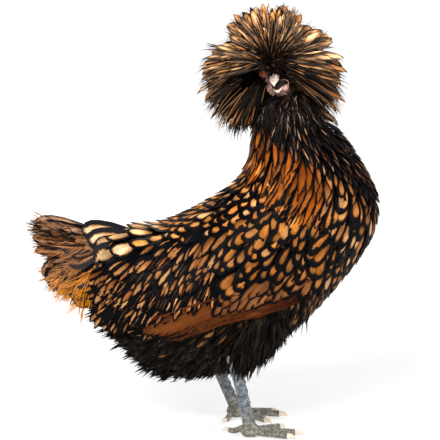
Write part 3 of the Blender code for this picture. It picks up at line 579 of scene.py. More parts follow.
def lay(surface, a, b, flow, length, width, outline, heights, outwards, tilt, bend):
    """Strips on a surface: in its parameters a point is root + flow v + across u, raised along the normal
    by heights interpolated over v, by tilt u and by the camber -u^2, and hooked sideways by bend v^2."""
    steps, shape = outline
    along_a, along_b = slopes(surface, a, b)
    normal = unit(np.cross(along_a, along_b)) * outwards
    flow = unit(flow - normal * (flow * normal).sum(-1, keepdims=True))
    across = np.cross(normal, flow)
    v = np.asarray(steps)[None, :, None]
    u = np.linspace(-1, 1, 3)[None, None, :] * np.asarray(shape)[None, :, None]
    hook = u + np.reshape(bend, (-1, 1, 1)) * v**2
    flow_steps = tangent_steps(along_a, along_b, flow * length[:, None])
    across_steps = tangent_steps(along_a, along_b, across * (width / 2)[:, None])
    grid_a, grid_b = (
        start[:, None, None] + ahead[:, None, None] * v + aside[:, None, None] * hook
        for start, ahead, aside in zip((a, b), flow_steps, across_steps)
    )
    out = unit(np.cross(*slopes(surface, grid_a, grid_b))) * outwards
    root, middle, tip = (np.reshape(h, (-1, 1, 1)) for h in heights)
    height = root * (1 - v) * (1 - 2 * v) + middle * 4 * v * (1 - v) + tip * v * (2 * v - 1)
    height = height + np.reshape(tilt, (-1, 1, 1)) * u - 0.10 * width[:, None, None] * u**2
    return surface(grid_a, grid_b) + out * height[..., None]


def strips(path, across, width, outline, camber=0.10, columns=3, twist=0.0):
    """Strips along paths in space: path + across * half width * outline * u - face * camber * u^2."""
    along = unit(np.gradient(path, axis=1))
    across = across.reshape(len(path), -1, 3)
    across = unit(across - along * (across * along).sum(-1, keepdims=True))
    face = np.cross(along, across)
    turn = np.reshape(twist, (-1, 1)) * np.linspace(0, 1, path.shape[1])
    across, face = turned(turn, across, face), turned(turn, face, -across)
    u = np.linspace(-1, 1, columns)[None, None, :] * np.asarray(outline[1])[None, :, None]
    half = (width / 2)[:, None, None] * u
    drop = camber * width[:, None, None] * u**2
    return path[:, :, None] + across[:, :, None] * half[..., None] - face[:, :, None] * drop[..., None]


# Even spreads of places


def even_plane(count):
    """Points spread evenly over the unit square, in an order without visible rows."""
    k = np.arange(count) + 0.5
    return (k * 0.7548776662466927) % 1, (k * 0.5698402909980532) % 1


def even_directions(count):
    """Angles round an axis and away from it, spread evenly over a sphere."""
    k = np.arange(count) + 0.5
    return k * math.pi * (3 - math.sqrt(5)) % (2 * math.pi), np.arccos(1 - 2 * k / count)


def spread(weight, a_edges, b_edges, count):
    """Points whose density over a grid of two parameters follows the weights."""
    x, y = even_plane(count)
    share = np.append(0, np.cumsum(weight.sum(axis=1)))
    a = np.interp(x * share[-1], share, a_edges)
    cell = np.clip(np.searchsorted(a_edges, a) - 1, 0, len(weight) - 1)
    b = np.empty(count)
    for k in np.unique(cell):
        column = np.append(0, np.cumsum(weight[k]))
        here = cell == k
        b[here] = np.interp(y[here] * column[-1], column, b_edges)
    return a, b


def middles(a_edges, b_edges):
    """The middles of a grid's cells."""
    a, b = (a_edges[1:] + a_edges[:-1]) / 2, (b_edges[1:] + b_edges[:-1]) / 2
    return np.meshgrid(a, b, indexing="ij")


def patch_area(row, angle):
    """Area of the trunk's surface per unit of its two parameters."""
    return np.linalg.norm(np.cross(*slopes(trunk_at, row, angle)), axis=-1)


def trunk_map(row, angle):
    """Places of the trunk's two parameters in the bake map."""
    return stacked(row / TOP_ROW, angle / (2 * math.pi) + 0.5) * 0.98 + 0.01


# Feather tracts of the trunk


# Columns of TRACTS: a feather's length, width and tip height, its flow down the side in degrees, its ground,
# the half width, start and end of its patch, and the share of its length times width that its root takes up
LENGTH, WIDTH, TIP, FLOW, GROUND, HALF, START, END, ROOM = range(9)
TRACTS = {
    "crown": (0.023, 0.0062, 0.0018, 0, RUST_GOLD, 0.24, 0.50, 1.00, 0.30),
    "hackle": (0.036, 0.0078, 0.0018, 0, AMBER, 0.66, -0.20, 1.02, 0.22),
    "breast": (0.030, 0.0128, 0.0016, 4, GOLD, 0.60, 0.06, 0.80, 0.30),
    "back": (0.026, 0.0140, 0.0016, 34, GOLD, 0.64, 0.06, 0.80, 0.30),
    "cover": (0.038, 0.0270, 0.0022, 20, CREAM, 0.70, 0.22, 0.92, 0.40),
    "saddle": (0.036, 0.0112, 0.0036, 58, GOLD, 0.44, 0.36, 0.92, 0.26),
    "belly": (0.030, 0.0120, 0.0030, 30, SOOT, 0.30, 0.50, 0.95, 0.24),
}
COAT_ROWS = 0.10, TOP_ROW - 0.05  # rows of the trunk between which its feathers root
SPACING = 1.12  # of neighbouring roots, for the square root of the room of one
PALE_SPOT = np.array([0.121, -0.062, 0.272])  # a few nearly white feathers at the side of the breast
PALE_REACH = 0.011


def tract_shares(row, angle):
    """How much each point of the trunk belongs to each tract. The shares add up to 1."""
    turn = np.degrees(np.abs(angle))
    dark_from = 9.00 - 1.5 * (turn / 180) ** 1.5
    crown = ease(row, dark_from - 0.25, dark_from + 0.25)
    hackle = ease(row, dark_from - 2.0, dark_from - 1.2) * (1 - crown) * (1 - ease(turn, 88, 116))
    rest = 1 - crown - hackle
    rear = 1 - ease(row, 1.6, 3.0)
    belly = rest * ease(turn, 97 - 10 * rear, 116 - 10 * rear) * (1 - ease(row, 5.7, 6.9))
    rest = rest - belly
    saddle = rest * (1 - ease(row, 3.0, 4.2)) * ease(turn, 24 + 26 * rear, 44 + 26 * rear)
    rest = rest - saddle
    cover = rest * (1 - ease(row, 2.4, 3.4))
    rest = rest - cover
    breast = rest * ease(turn, 74, 104)
    return {
        "crown": crown, "hackle": hackle, "breast": breast, "back": rest - breast,
        "cover": cover, "saddle": saddle, "belly": belly,
    }


def tract_fact(shares, column):
    """A number or colour of the tracts, blended by their shares."""
    return sum(np.multiply.outer(share, TRACTS[name][column]) for name, share in shares.items())


def feather_room(shares):
    """The area that each root takes up."""
    return tract_fact(shares, LENGTH) * tract_fact(shares, WIDTH) * tract_fact(shares, ROOM)


def settle(row, angle, rounds=24):
    """Spreads roots evenly over the trunk. Each pair nearer than its spacing s is pushed apart along the
    surface by s (1 - distance / s), a part of it in each round."""
    for _ in range(rounds):
        points = trunk_at(row, angle)
        size = np.sqrt(feather_room(tract_shares(row, angle))) * SPACING
        square = (points**2).sum(-1)
        apart = np.sqrt(np.maximum(square[:, None] + square - 2 * points @ points.T, 1e-12))
        spacing = (size[:, None] + size) / 2
        push = np.clip(1 - apart / spacing, 0, 1) * spacing / apart
        np.fill_diagonal(push, 0)
        move = (push.sum(axis=1)[:, None] * points - push @ points) * 0.22
        steps = np.clip(tangent_steps(*slopes(trunk_at, row, angle), move), -0.2, 0.2)
        row, angle = np.clip(row + steps[0], *COAT_ROWS), wrapped(angle + steps[1])
    return row, angle


def trunk_feathers(rng):
    """The coat of the trunk as batches by tract."""
    row_edges, angle_edges = np.linspace(*COAT_ROWS, 81), np.linspace(-math.pi, math.pi, 121)
    row, angle = middles(row_edges, angle_edges)
    density = patch_area(row, angle) / feather_room(tract_shares(row, angle))
    cell = (row_edges[1] - row_edges[0]) * (angle_edges[1] - angle_edges[0])
    count = int(density.sum() * cell)
    row, angle = settle(*spread(density, row_edges, angle_edges, count))
    shares = tract_shares(row, angle)
    length = tract_fact(shares, LENGTH) * rng.uniform(0.88, 1.14, count)
    width = tract_fact(shares, WIDTH) * rng.uniform(0.86, 1.14, count)
    sway = np.radians(tract_fact(shares, FLOW) + rng.normal(0, 8, count))
    along_row, along_angle = slopes(trunk_at, row, angle)
    side = np.where(angle < 0, -1.0, 1.0)[:, None]
    taper = np.clip(np.abs(np.sin(angle)) * 2.2, 0, 1)
    down = unit(along_angle) * side * (np.sin(sway) * taper)[:, None]
    flow = unit(-unit(along_row) * np.cos(sway)[:, None] + down)
    tip = tract_fact(shares, TIP)
    root_height, mid_height = np.full(count, -COAT_DEPTH * 0.85), tip * 0.3 - COAT_DEPTH * 0.20
    heights = root_height, mid_height, tip + rng.normal(0, 0.0004, count)
    pointed = sum(shares[name] for name in ("hackle", "crown", "saddle", "belly")) > 0.5
    facts = plumage_facts(rng, shares, trunk_at(row, angle))
    facts["bake"] = trunk_map(row, angle)
    tilt, bend = rng.normal(0, 0.0006, count), rng.normal(0, 0.14, count)
    batches = {name: [] for name in shares}
    main = np.argmax(list(shares.values()), axis=0)
    for k, name in enumerate(shares):
        for outline, pick in ((POINTED, pointed), (ROUND, ~pointed)):
            here = (main == k) & pick
            laid = (values[here] for values in (row, angle, flow, length, width))
            raised = [height[here] for height in heights]
            grid = lay(trunk_at, *laid, outline, raised, -1.0, tilt[here], bend[here])
            own = {key: values[here] for key, values in facts.items()}
            batches[name].append({"grid": grid, "steps": outline[0], **own})
    return batches


def plumage_facts(rng, shares, points):
    """Per-feather colours: most follow their tract, some stay dark, and the shade varies a little."""
    count = len(points)
    lift = 1 + 0.9 * shares["back"] + 0.3 * shares["cover"] + 0.2 * shares["breast"]
    ground = tract_fact(shares, GROUND) * rng.uniform(0.45, 1.05, (count, 1)) * lift[:, None]
    ground = ground * mix(AMBER_CAST, PALE_CAST, rng.uniform(0, 1, count))
    spot = np.exp(-((points - PALE_SPOT) ** 2).sum(-1) / PALE_REACH**2)
    pale = rng.uniform(0, 1, count) ** 5 * 0.8 + 0.9 * spot
    ground = mix(ground, CREAM, np.clip(pale, 0, 1) * (1 - shares["hackle"]))
    half = tract_fact(shares, HALF) * rng.uniform(0.78, 1.14, count)
    start, end = tract_fact(shares, START) + rng.normal(0, 0.06, count), tract_fact(shares, END)
    front = ease(points[:, 0], 0.0, 0.05)
    dark = {"belly": 0.92 - 0.55 * front, "saddle": 0.25, "crown": 0.60, "back": 0.04}
    dark = sum(shares[name] * chance for name, chance in dark.items())
    half = np.where(rng.uniform(0, 1, count) < dark, BARE, half)
    on_belly = (shares["belly"] > 0.5)[:, None]
    ground = np.where(on_belly, GOLD * rng.uniform(0.4, 0.9, (count, 1)), ground)
    edge = BLACK * rng.uniform(0.7, 1.8, (count, 1))
    edge = mix(edge, SOOT * rng.uniform(0.6, 2.2, (count, 1)), shares["belly"])
    lace = stacked(half, start, end)
    return {"ground": ground, "edge": edge, "lace": lace, "seed": rng.uniform(0, 1, count)}


# Skin


def tube(rings):
    """Points and faces of a closed tube through rings, its ends fanned to their centres."""
    rings = np.asarray(rings, float)
    count, sides = rings.shape[:2]
    points = np.vstack([rings.reshape(-1, 3), rings[0].mean(axis=0), rings[-1].mean(axis=0)])
    faces = grid_faces(1, count, sides, True).tolist()
    first, last, base = count * sides, count * sides + 1, (count - 1) * sides
    faces += [(first, j, (j + 1) % sides) for j in range(sides)]
    faces += [(last, base + (j + 1) % sides, base + j) for j in range(sides)]
    return points, faces


def joined(shapes):
    """One shape from several."""
    points, faces, start = [], [], 0
    for own_points, own_faces in shapes:
        points.append(own_points)
        faces += [tuple(start + k for k in face) for face in own_faces]
        start += len(own_points)
    return np.concatenate(points), faces


def ball(centre, radii, turn=np.eye(3), sides=32, rings=20):
    """An ellipsoid: centre + turn (radii * direction)."""
    level = np.linspace(0.04, math.pi - 0.04, rings)[:, None]
    aim = direction(circle(sides), level)[..., [1, 2, 0]]
    return tube(centre + (aim * radii) @ turn.T)


def in_head(points):
    """Points of the head's frame in the design frame."""
    return points @ HEAD_TURN.T + np.array(HEAD_CENTRE)


def to_head(points):
    """Points of the design frame in the head's frame."""
    return (points - np.array(HEAD_CENTRE)) @ HEAD_TURN


def oval_tube(stations, lean=(0.0, 0.0)):
    """A tube in the head's frame through stations of forward place, half width, top and bottom height, moved
    sideways by an amount that changes from the beak's base to its tip."""
    rows = smooth_rows(np.array(stations), np.linspace(0, len(stations) - 1, 24))
    x, half, top, bottom = (rows[:, k, None] for k in range(4))
    angle = circle(28)
    z = (top + bottom) / 2 + (top - bottom) / 2 * np.sin(angle)
    y = half * np.cos(angle) + np.interp(x, BEAK_REACH, lean)
    return tube(in_head(stacked(x, y, z))[::-1])


def thigh_at(side, along, around):
    """The thigh's surface: circles that shrink along a bent path from the hip to the hock."""
    rows = THIGH * (1, SIDES[side], 1, 1) + (*HOCK[side], 0)
    line = smooth_rows(rows, along)
    return line[..., :3] + stacked(np.cos(around), np.sin(around), -0.35 * np.cos(around)) * line[..., 3:]


def with_eye_hollows(points):
    """Points pressed in behind each eye, fully near it and not at all past the hollow's rim."""
    near, rim, depth = EYE_HOLLOW
    for side in SIDES:
        place, turn = eye_axes(side)
        share = 1 - ease(np.linalg.norm(points - in_head(place), axis=-1), near, rim)
        points = points - depth * share[:, None] * (HEAD_TURN @ turn[:, 2])
    return points


def make_skin(material):
    """One skin of trunk, thighs, head, crest knob and neck, a little under the feathers' roots."""
    row, angle = np.meshgrid(np.linspace(0, TOP_ROW, 81), circle(72), indexing="ij")
    along_row, along_angle = slopes(trunk_at, row, angle)
    normal = unit(np.cross(along_angle, along_row))
    shapes = [tube(trunk_at(row, angle) - normal * COAT_DEPTH * 0.9)]
    for side in SIDES:
        ring = thigh_at(side, *np.meshgrid(np.linspace(0.2, 4, 20), circle(24), indexing="ij"))
        middle = ring.mean(axis=1, keepdims=True)
        shapes.append(tube(middle + (ring - middle) * 0.84))
    throat = np.array(HEAD @ Vector((-0.004, 0, -0.010)))
    base = trunk_at(TOP_ROW, circle(24))
    centre = base.mean(axis=0)
    neck = [centre + (base - centre) * size + (throat - centre) * rise for size, rise in NECK_RINGS]
    shapes += [oval_tube(SKULL), ball(CREST_CENTRE, CREST_CORE * 0.86), tube(neck)]
    points, faces = joined(shapes)
    flesh = ["torso", "neck", "head", "thigh_right", "thigh_left"]
    add_piece("skin", (with_eye_hollows(points), faces), material, flesh)


def skin_map(points):
    """An unwrap of the skin by its place along the body and round it."""
    low, high = points.min(axis=0), points.max(axis=0)
    across = (points - low) / (high - low)
    return np.stack([across[:, 0] * 0.96 + 0.02, across[:, 2] * 0.96 + 0.02], axis=-1)


# Down of the belly and thighs


def make_fluff(rng, material):
    """Soft ragged locks: strips that leave the belly and thighs and hang down and back."""
    row_edges, angle_edges = np.linspace(0.3, 6.0, 49), np.linspace(-math.pi, math.pi, 97)
    row, angle = middles(row_edges, angle_edges)
    weight = patch_area(row, angle) * tract_shares(row, angle)["belly"] ** 0.7
    row, angle = spread(weight, row_edges, angle_edges, 5200)
    along_row, along_angle = slopes(trunk_at, row, angle)
    normal = unit(np.cross(along_angle, along_row))
    roots, bake = trunk_at(row, angle), trunk_map(row, angle)
    batches = [down_locks(rng, roots, normal, -unit(along_row), bake, 0.018)]
    for k, side in enumerate(SIDES):
        x, y = even_plane(1100)
        along, around = 0.5 + 3.4 * x, y * 2 * math.pi
        roots = thigh_at(side, along, around)
        out = unit(roots - thigh_at(side, along, around + math.pi))
        down = unit(thigh_at(side, along + 0.1, around) - roots)
        bake = stacked(x * 0.2 + 0.3 + 0.3 * k, y * 0.2)
        batches.append(down_locks(rng, roots, out, down, bake, 0.017))
    add_feathers("belly_down", batches, material)


def down_locks(rng, roots, normal, back, bake, length):
    """Locks along root + lie * length * v, sinking with gravity by v^2."""
    count = len(roots)
    reach = length * rng.uniform(0.6, 1.25, (count, 1))
    lie = back * 0.9 + normal * rng.uniform(0.02, 0.26, (count, 1)) + rng.normal(0, 0.20, (count, 3))
    lie = unit(lie + (0, 0, -0.30))
    path = rays(roots - normal * 0.005, lie, reach * LOCK_STEPS)
    path[..., 2] = np.maximum(path[..., 2] - 0.22 * reach * LOCK_STEPS**2, LOWEST_DOWN)
    across = np.cross(lie, normal) + rng.normal(0, 0.3, (count, 3))
    width = rng.uniform(0.0022, 0.0052, count)
    dark = SOOT * (0.5 + 2.6 * rng.uniform(0, 1, (count, 1)) ** 2)
    ground = np.where(rng.uniform(0, 1, (count, 1)) < 0.012, TAN * 0.7, dark)
    return hairs(rng, path, across, width, bake, ground, dark, (0.6, 0.3, 1.2))


# Wings


def edge_height(edge, x):
    """Height of the wing's upper or lower edge above places along it."""
    return np.interp(x, edge[::-1, 0], edge[::-1, 1])


def wing_surface(side, lift=0.0):
    """The flank swollen by the folded wing, as a function of side-view x and z. The swelling fades towards
    the wing's upper edge and the shoulder."""

    def surface(x, z):
        below = ease(edge_height(WING_TOP, x) - z, -0.012, 0.018)
        swelling = 0.0042 * below * (1 - ease(x, 0.085, 0.115)) + lift
        return stacked(x, SIDES[side] * (flank(x, z) + swelling), z)

    return surface


def aim_down(slope):
    """Directions backwards and down at slopes in degrees."""
    slope = np.radians(slope)
    return stacked(-np.cos(slope), 0, -np.sin(slope))


def behind(x, z, slope, distance):
    """The places of the roots of feathers whose tips are given."""
    flow = aim_down(slope)
    return x - flow[..., 0] * distance, z - flow[..., 2] * distance


def feather_facts(rng, count, ground, lace, black=(0.8, 1.6)):
    """Facts of feathers that share a ground colour and a patch."""
    return {
        "ground": ground * rng.uniform(0.70, 1.20, (count, 1)),
        "edge": BLACK * rng.uniform(*black, (count, 1)),
        "lace": np.array(lace) * rng.uniform(0.94, 1.06, (count, 1)),
        "seed": rng.uniform(0, 1, count),
    }


def covert_tips(slope, pitch_along, pitch_across, low, high):
    """Places of a staggered lattice turned to the feathers' slope, kept between two heights over the wing's
    lower edge and in front of the hanging saddle feathers."""
    i, j = np.meshgrid(np.arange(-40, 40), np.arange(-40, 40), indexing="ij")
    along, across = (i * pitch_along).ravel(), ((j + 0.5 * (i % 2)) * pitch_across).ravel()
    turn = math.radians(slope)
    x = 0.03 - along * math.cos(turn) + across * math.sin(turn)
    z = 0.17 - along * math.sin(turn) - across * math.cos(turn)
    over, under = z - edge_height(WING_FOOT, x), edge_height(WING_TOP, x) - z
    low = np.interp(x, (-0.02, 0.045, 0.065, 0.09), (low, low, 0.004, -0.002))
    behind = np.interp(z, (0.13, 0.15, 0.222), (0.004, -0.002, -0.032))
    keep = (x > behind) & (x < 0.098) & (over > low) & (over < high) & (under > -0.006)
    return x[keep], z[keep]


def laid_on_wing(rng, side, x, z, slope, length, width, outline, heights, facts, wobble):
    """Feathers on the wing's surface from roots in the side view."""
    count = len(x)
    flow = aim_down(slope + rng.normal(0, wobble, count))
    tilt, bend = rng.normal(0, 0.0007, count), rng.normal(0, 0.16, count)
    surface, outwards = wing_surface(side), -SIDES[side]
    grid = lay(surface, x, z, flow, length, width, outline, heights, outwards, tilt, bend)
    bake = stacked(x * 2.2 + 0.5, z * 2.2 + 0.1)
    return {"grid": grid, "steps": outline[0], "bake": bake, **facts}


def make_wing(rng, side, material):
    """The folded wing."""
    coverts = wing_coverts(rng, side)
    batches = [flight_feathers(rng, side), secondaries(rng, side), coverts]
    add_feathers(f"wing_feathers_{side}", batches, material, [f"wing_{side}"])


def wing_coverts(rng, side):
    """Round laced feathers whose tips stand on a lattice over the wing, paler above."""
    x, z = covert_tips(COVERT_SLOPE, 0.0108, 0.0112, 0.021, 0.100)
    count = len(x)
    x, z = x + rng.normal(0, 0.0018, count), z + rng.normal(0, 0.0018, count)
    long, wide = 0.029 * rng.uniform(0.85, 1.15, count), 0.0136 * rng.uniform(0.82, 1.12, count)
    rim = 0.35 + 0.65 * ease(edge_height(WING_TOP, x) - z, -0.004, 0.022)
    heights = -0.0012, 0.0026 * rim, 0.0040 * rim + rng.normal(0, 0.0004, count)
    ground = mix(GOLD * 0.82, RUST_GOLD * 0.9, ease(z, 0.205, 0.160) * rng.uniform(0.2, 1, count))
    facts = feather_facts(rng, count, ground, (0.58, 0.06, 0.80))
    facts["ground"] *= rng.uniform(0.60, 1.25, (count, 1))
    facts["ground"] *= mix(AMBER_CAST, PALE_CAST, rng.uniform(0, 1, count) ** 1.6)
    facts["lace"][:, 0] *= rng.uniform(0.65, 1.2, count)
    slope = COVERT_SLOPE + 8 * ease(x, 0.02, 0.10)
    x, z = behind(x, z, COVERT_SLOPE, long * 0.86)
    return laid_on_wing(rng, side, x, z, slope, long, wide, ROUND, heights, facts, 14)


def secondaries(rng, side):
    """Broad rust blades with dark rims between the coverts and the flight feathers, in two rows."""
    x = np.concatenate([np.linspace(0.070, -0.004, 11), np.linspace(0.074, 0.004, 9)])
    count = len(x)
    z = edge_height(WING_FOOT, x) + np.repeat((0.008, 0.017), (11, 9)) + rng.normal(0, 0.0012, count)
    slope = np.interp(x, (0, 0.07), (50, 36)) + rng.normal(0, 3, count)
    long, wide = 0.046 * rng.uniform(0.9, 1.1, count), 0.0125 * rng.uniform(0.9, 1.1, count)
    ground = mix(RUST_GOLD, RUST, rng.uniform(0, 0.8, count))
    facts = feather_facts(rng, count, ground, (0.70, -0.1, 0.94))
    x, z = behind(x, z, slope, long * 0.9)
    heights = -0.001, 0.0020, 0.0030
    return laid_on_wing(rng, side, x, z, slope, long, wide, ROUND, heights, facts, 0)


def flight_feathers(rng, side):
    """Long plain feathers stacked under the coverts, each a little lower and deeper than the last."""
    count, steps = 7, np.linspace(0, 1, 11)
    k = np.arange(count)[:, None]
    line = smooth_rows(FLIGHT_LINE, steps * (len(FLIGHT_LINE) - 1))
    x = line[:, 0] + 0.0035 * k * steps
    z = line[:, 1] + 0.0035 - 0.0021 * k * (1 - 0.40 * steps)
    surface = wing_surface(side, 0.0016)
    path = surface(x, z) - stacked(0, SIDES[side] * 0.0005 * k, 0)
    beside = (surface(x, z + 0.003) - surface(x, z - 0.003)) * -SIDES[side]
    shape = np.interp(steps, (0, 0.5, 0.90, 0.97, 1), (0.50, 1.0, 1.10, 0.90, 0.35))
    grid = strips(path, beside, np.linspace(0.0225, 0.017, count), (steps, shape), 0.05, 5)
    bake = stacked(0.08 + 0.5 * (side == "left"), 0.9 + 0.015 * k[:, 0])
    facts = feather_facts(rng, count, RUST * (1.05, 0.88, 0.66), (1.10, -0.3, 1.06))
    return {"grid": grid, "steps": steps, "bake": bake, **facts}


def make_saddle(rng, material):
    """Narrow hanging feathers that start beside the back and cover the rear of the wings."""
    batches, count = [], 32
    share = (np.arange(count) + 0.5) / count
    for side in SIDES:
        for tier in range(5):
            low = tier / 4
            x = 0.018 - 0.130 * share + rng.normal(0, 0.0020, count) - 0.0050 * tier * (1 - share)
            z = np.interp(x, (-0.11, -0.06, 0.0, 0.03), (0.188, 0.206, 0.228, 0.238)) - 0.0110 * tier
            z = z + rng.normal(0, 0.002, count)
            slope = np.interp(x, (-0.11, -0.05, 0.02), (50, 66, 74))
            long = rng.uniform(0.034, 0.048, count)
            wide = rng.uniform(0.0105, 0.0160, count) * (1 - 0.20 * low)
            lift = 0.0030 + 0.0003 * (4 - tier)
            tone = mix(RUST_GOLD, GOLD, rng.uniform(0, 1, count))
            tone = mix(tone, CREAM, 0.75 * rng.uniform(0, 1, count) ** 2) * (1.12, 1.0, 0.80)
            facts = feather_facts(rng, count, tone * (0.72 + 0.16 * low), (0, 0, 0.95))
            plain = rng.uniform(0, 1, count) < 0.16 + 0.34 * low
            facts["lace"][:, 0] = np.where(plain, BARE, rng.uniform(0.42, 0.66, count) - 0.12 * low)
            facts["lace"][:, 1] = rng.uniform(0.36, 0.64, count) + 0.10 * low
            heights = -0.004, lift * 0.7, lift
            batches.append(laid_on_wing(rng, side, x, z, slope, long, wide, POINTED, heights, facts, 7))
    add_feathers("saddle_hangers", batches, material)


# Tail


def tail_aim(sign, up, share):
    """Directions of tail feathers by their rise in degrees and their place from the top to the lowest."""
    up, splay = np.radians(up), np.radians(np.interp(share, (0, 1), (2, 15)))
    return stacked(-np.cos(up) * np.cos(splay), sign * np.sin(splay), np.sin(up))


def tail_fan(rng, count, length, width, start, lift, rise):
    """A fan on both sides of the tail: straight feathers from near level at the top to hanging below. Each
    side is the feathers' grid, their places in the bake map and the fan, and their paths, edges, faces and
    widths."""
    steps, fans = np.array(ROUND[0]), []
    for sign in SIDES.values():
        share = (np.arange(count) + 0.5 * (sign > 0)) / (count - 0.5)
        up = np.interp(share, (0, 1), rise) + rng.normal(0, 3.0, count) * ease(share, 0, 0.2)
        turns = [np.radians(np.interp(share, (0, 1), ends)) for ends in ((8, 125), (42, 100))]
        out, face = (stacked(0, sign * np.sin(turn), np.cos(turn)) for turn in turns)
        root = TAIL_CENTRE + out * (TAIL_CORE * 0.55 + lift) + (start, 0, 0)
        aim = tail_aim(sign, up, share)
        reach = length * tail_reach(share) * rng.uniform(0.86, 1.06, count)
        path = rays(root, aim, reach[:, None] * steps) + face[:, None] * (lift * steps)[:, None]
        path[..., 2] -= (0.10 * reach * (1 - share))[:, None] * (steps**2 - 0.4 * steps)
        across, wide = np.cross(face, aim), width * rng.uniform(0.75, 1.15, count)
        grid = strips(path, across, wide, ROUND, 0.06, 5, rng.normal(0, 0.35, count))
        bake = stacked(0.25 + 0.5 * (sign > 0) + 0.2 * share, 0.2 + lift * 60 + 0.1 * share)
        fans.append((grid, bake, share, (path, across, face, wide)))
    return fans


def tail_reach(share):
    """The tail's length from its top feather to its lowest, as a share of the longest."""
    return np.interp(share, (0, 0.12, 0.34, 0.58, 0.78, 1), (1.0, 0.92, 0.72, 0.84, 0.74, 0.58))


def tail_barbs(rng, shafts, bake, ground, barbs):
    """Barbs that leave each feather's shaft on both sides at about 20 degrees and reach past its edge."""
    path, across, face, wide = shafts
    shape, rows = (len(path), barbs), np.arange(len(path))[:, None]
    place = rng.uniform(0.22, 0.96, shape)
    at = np.interp(place, ROUND[0], np.arange(len(ROUND[0])))
    k = np.minimum(at.astype(int), len(ROUND[0]) - 2)
    root = mix(path[rows, k], path[rows, k + 1], at - k)
    side = np.where(rng.uniform(0, 1, shape) < 0.5, -1.0, 1.0)[..., None]
    along = unit(path[:, -1] - path[:, 0])[:, None]
    aim = unit(along + across[:, None] * side * 0.36 + rng.normal(0, 0.05, (*shape, 3)))
    half = np.interp(place, *ROUND) * (wide / 2)[:, None]
    reach = (half * 2.7 + 0.0020) * rng.uniform(0.7, 1.05, shape) * (1 - 0.55 * ease(place, 0.6, 1.0))
    root = root + face[:, None] * rng.uniform(0.0002, 0.0009, (*shape, 1))
    line = rays(root, aim, reach[..., None] * LOCK_STEPS).reshape(-1, len(LOCK_STEPS), 3)
    many = len(line)
    beside = np.cross(np.repeat(face, barbs, axis=0), aim.reshape(-1, 3))
    dark = rng.uniform(0, 1, (many, 1)) < 0.14
    ground = np.where(dark, SOOT * 2, np.repeat(ground, barbs, axis=0) * rng.uniform(0.75, 1.2, (many, 1)))
    width = rng.uniform(0.0006, 0.0012, many)
    bake = np.repeat(bake, barbs, axis=0) + rng.uniform(-0.02, 0.02, (many, 2))
    return hairs(rng, line, beside, width, bake, ground, SOOT)


# Tiers of the tail: feathers a side, length, width, start and lift, rise of the first and the last feather in
# degrees, ground, patch, and barbs a feather
TAIL_TIERS = (
    (13, 0.084, 0.027, 0.0, 0.0, (17, -58), TAIL_TAN, (0.96, -0.3, 1.02), 22),
    (12, 0.062, 0.022, 0.004, 0.003, (12, -62), TAIL_TAN, (0.88, -0.2, 0.98), 16),
    (6, 0.050, 0.0290, 0.026, 0.008, (-2, -44), CREAM, (0.86, 0.10, 0.93), 0),
)


def make_tail(rng, material):
    """The tail: tan above, golden below, with barbs and wisps at its edges."""
    batches = []
    for count, length, width, start, lift, rise, ground, lace, barbs in TAIL_TIERS:
        for grid, bake, share, shafts in tail_fan(rng, count, length, width, start, lift, rise):
            tone = mix(TAIL_TOP, ground, ease(share, 0.02, 0.16) if barbs else 1.0)
            tone = mix(tone, GOLD * (1.5, 1.25, 0.30), ease(share, 0.50, 0.85))
            facts = feather_facts(rng, count, tone, lace, (1.5, 14))
            facts["ground"] *= rng.uniform(0.85, 1.5, (count, 1))
            facts["lace"][:, 0] *= rng.uniform(0.6, 1.1, count)
            batches.append({"grid": grid, "steps": ROUND[0], "bake": bake, **facts})
            if barbs:
                batches.append(tail_barbs(rng, shafts, bake, facts["ground"], barbs))
    batches.append(tail_wisps(rng, 900))
    add_feathers("tail_feathers", batches, material, ["tail"])


def tail_wisps(rng, count):
    """Loose barbs that fray the tail's tips, brighter towards its lower end."""
    sign = np.where(rng.uniform(0, 1, count) < 0.5, -1.0, 1.0)
    share = rng.uniform(0, 1, count)
    aim = tail_aim(sign, np.interp(share, (0, 1), (18, -60)) + rng.normal(0, 3, count), share)
    reach = 0.083 * tail_reach(share) * rng.uniform(0.45, 1.04, count)
    root = TAIL_CENTRE + stacked(0, sign * rng.uniform(0, 0.016, count), 0.010 - 0.02 * share)
    path = rays(root, aim, reach[:, None] - rng.uniform(0.010, 0.022, (count, 1)) * (1 - LOCK_STEPS))
    path = path + rng.normal(0, 0.004, (count, 1, 3)) * (LOCK_STEPS**1.5)[:, None]
    warm = (rng.uniform(0, 1, count) < 0.45 + 0.45 * share)[:, None]
    ground = np.where(warm, mix(RUST, GOLD, share) * rng.uniform(0.6, 1.5, (count, 1)), SOOT * 2)
    bake = stacked(0.5 + 0.4 * sign * share, reach * 10)
    width = rng.uniform(0.0010, 0.0024, count)
    return hairs(rng, path, np.cross(aim, (0, 1.0, 0)), width, bake, ground, SOOT)


# Crest and beard


def crest_axes():
    """The crest's pole, where its feathers part, and the directions to its right and up."""
    pole = unit(CREST_POLE)
    right = unit(np.cross(pole, (0, 0, -1.0)))
    return pole, right, np.cross(right, -pole)


# Reach of the crest's rim by direction in the photo: angle from the right in degrees, share of the span
CREST_RIM = np.array(
    [
        [-120, 1.00], [-113, 0.86], [-105, 0.62], [-90, 0.55], [-60, 0.78], [-45, 0.95], [-32, 1.07],
        [-17, 1.10], [0, 1.03], [28, 0.97], [45, 0.90], [54, 0.84], [62, 1.00], [75, 0.98], [90, 0.93],
        [110, 0.95], [134, 0.95], [147, 0.82], [156, 0.96], [167, 1.03], [180, 0.97], [191, 1.02],
        [204, 1.04], [218, 1.06], [240, 1.01],
    ]
)
CREST_CLEFTS = (54, 147, 20)  # directions in degrees between lobes
CREST_TUFTS = 230
TUFT_PULL = 0.55  # how far feathers are drawn to their tuft's middle


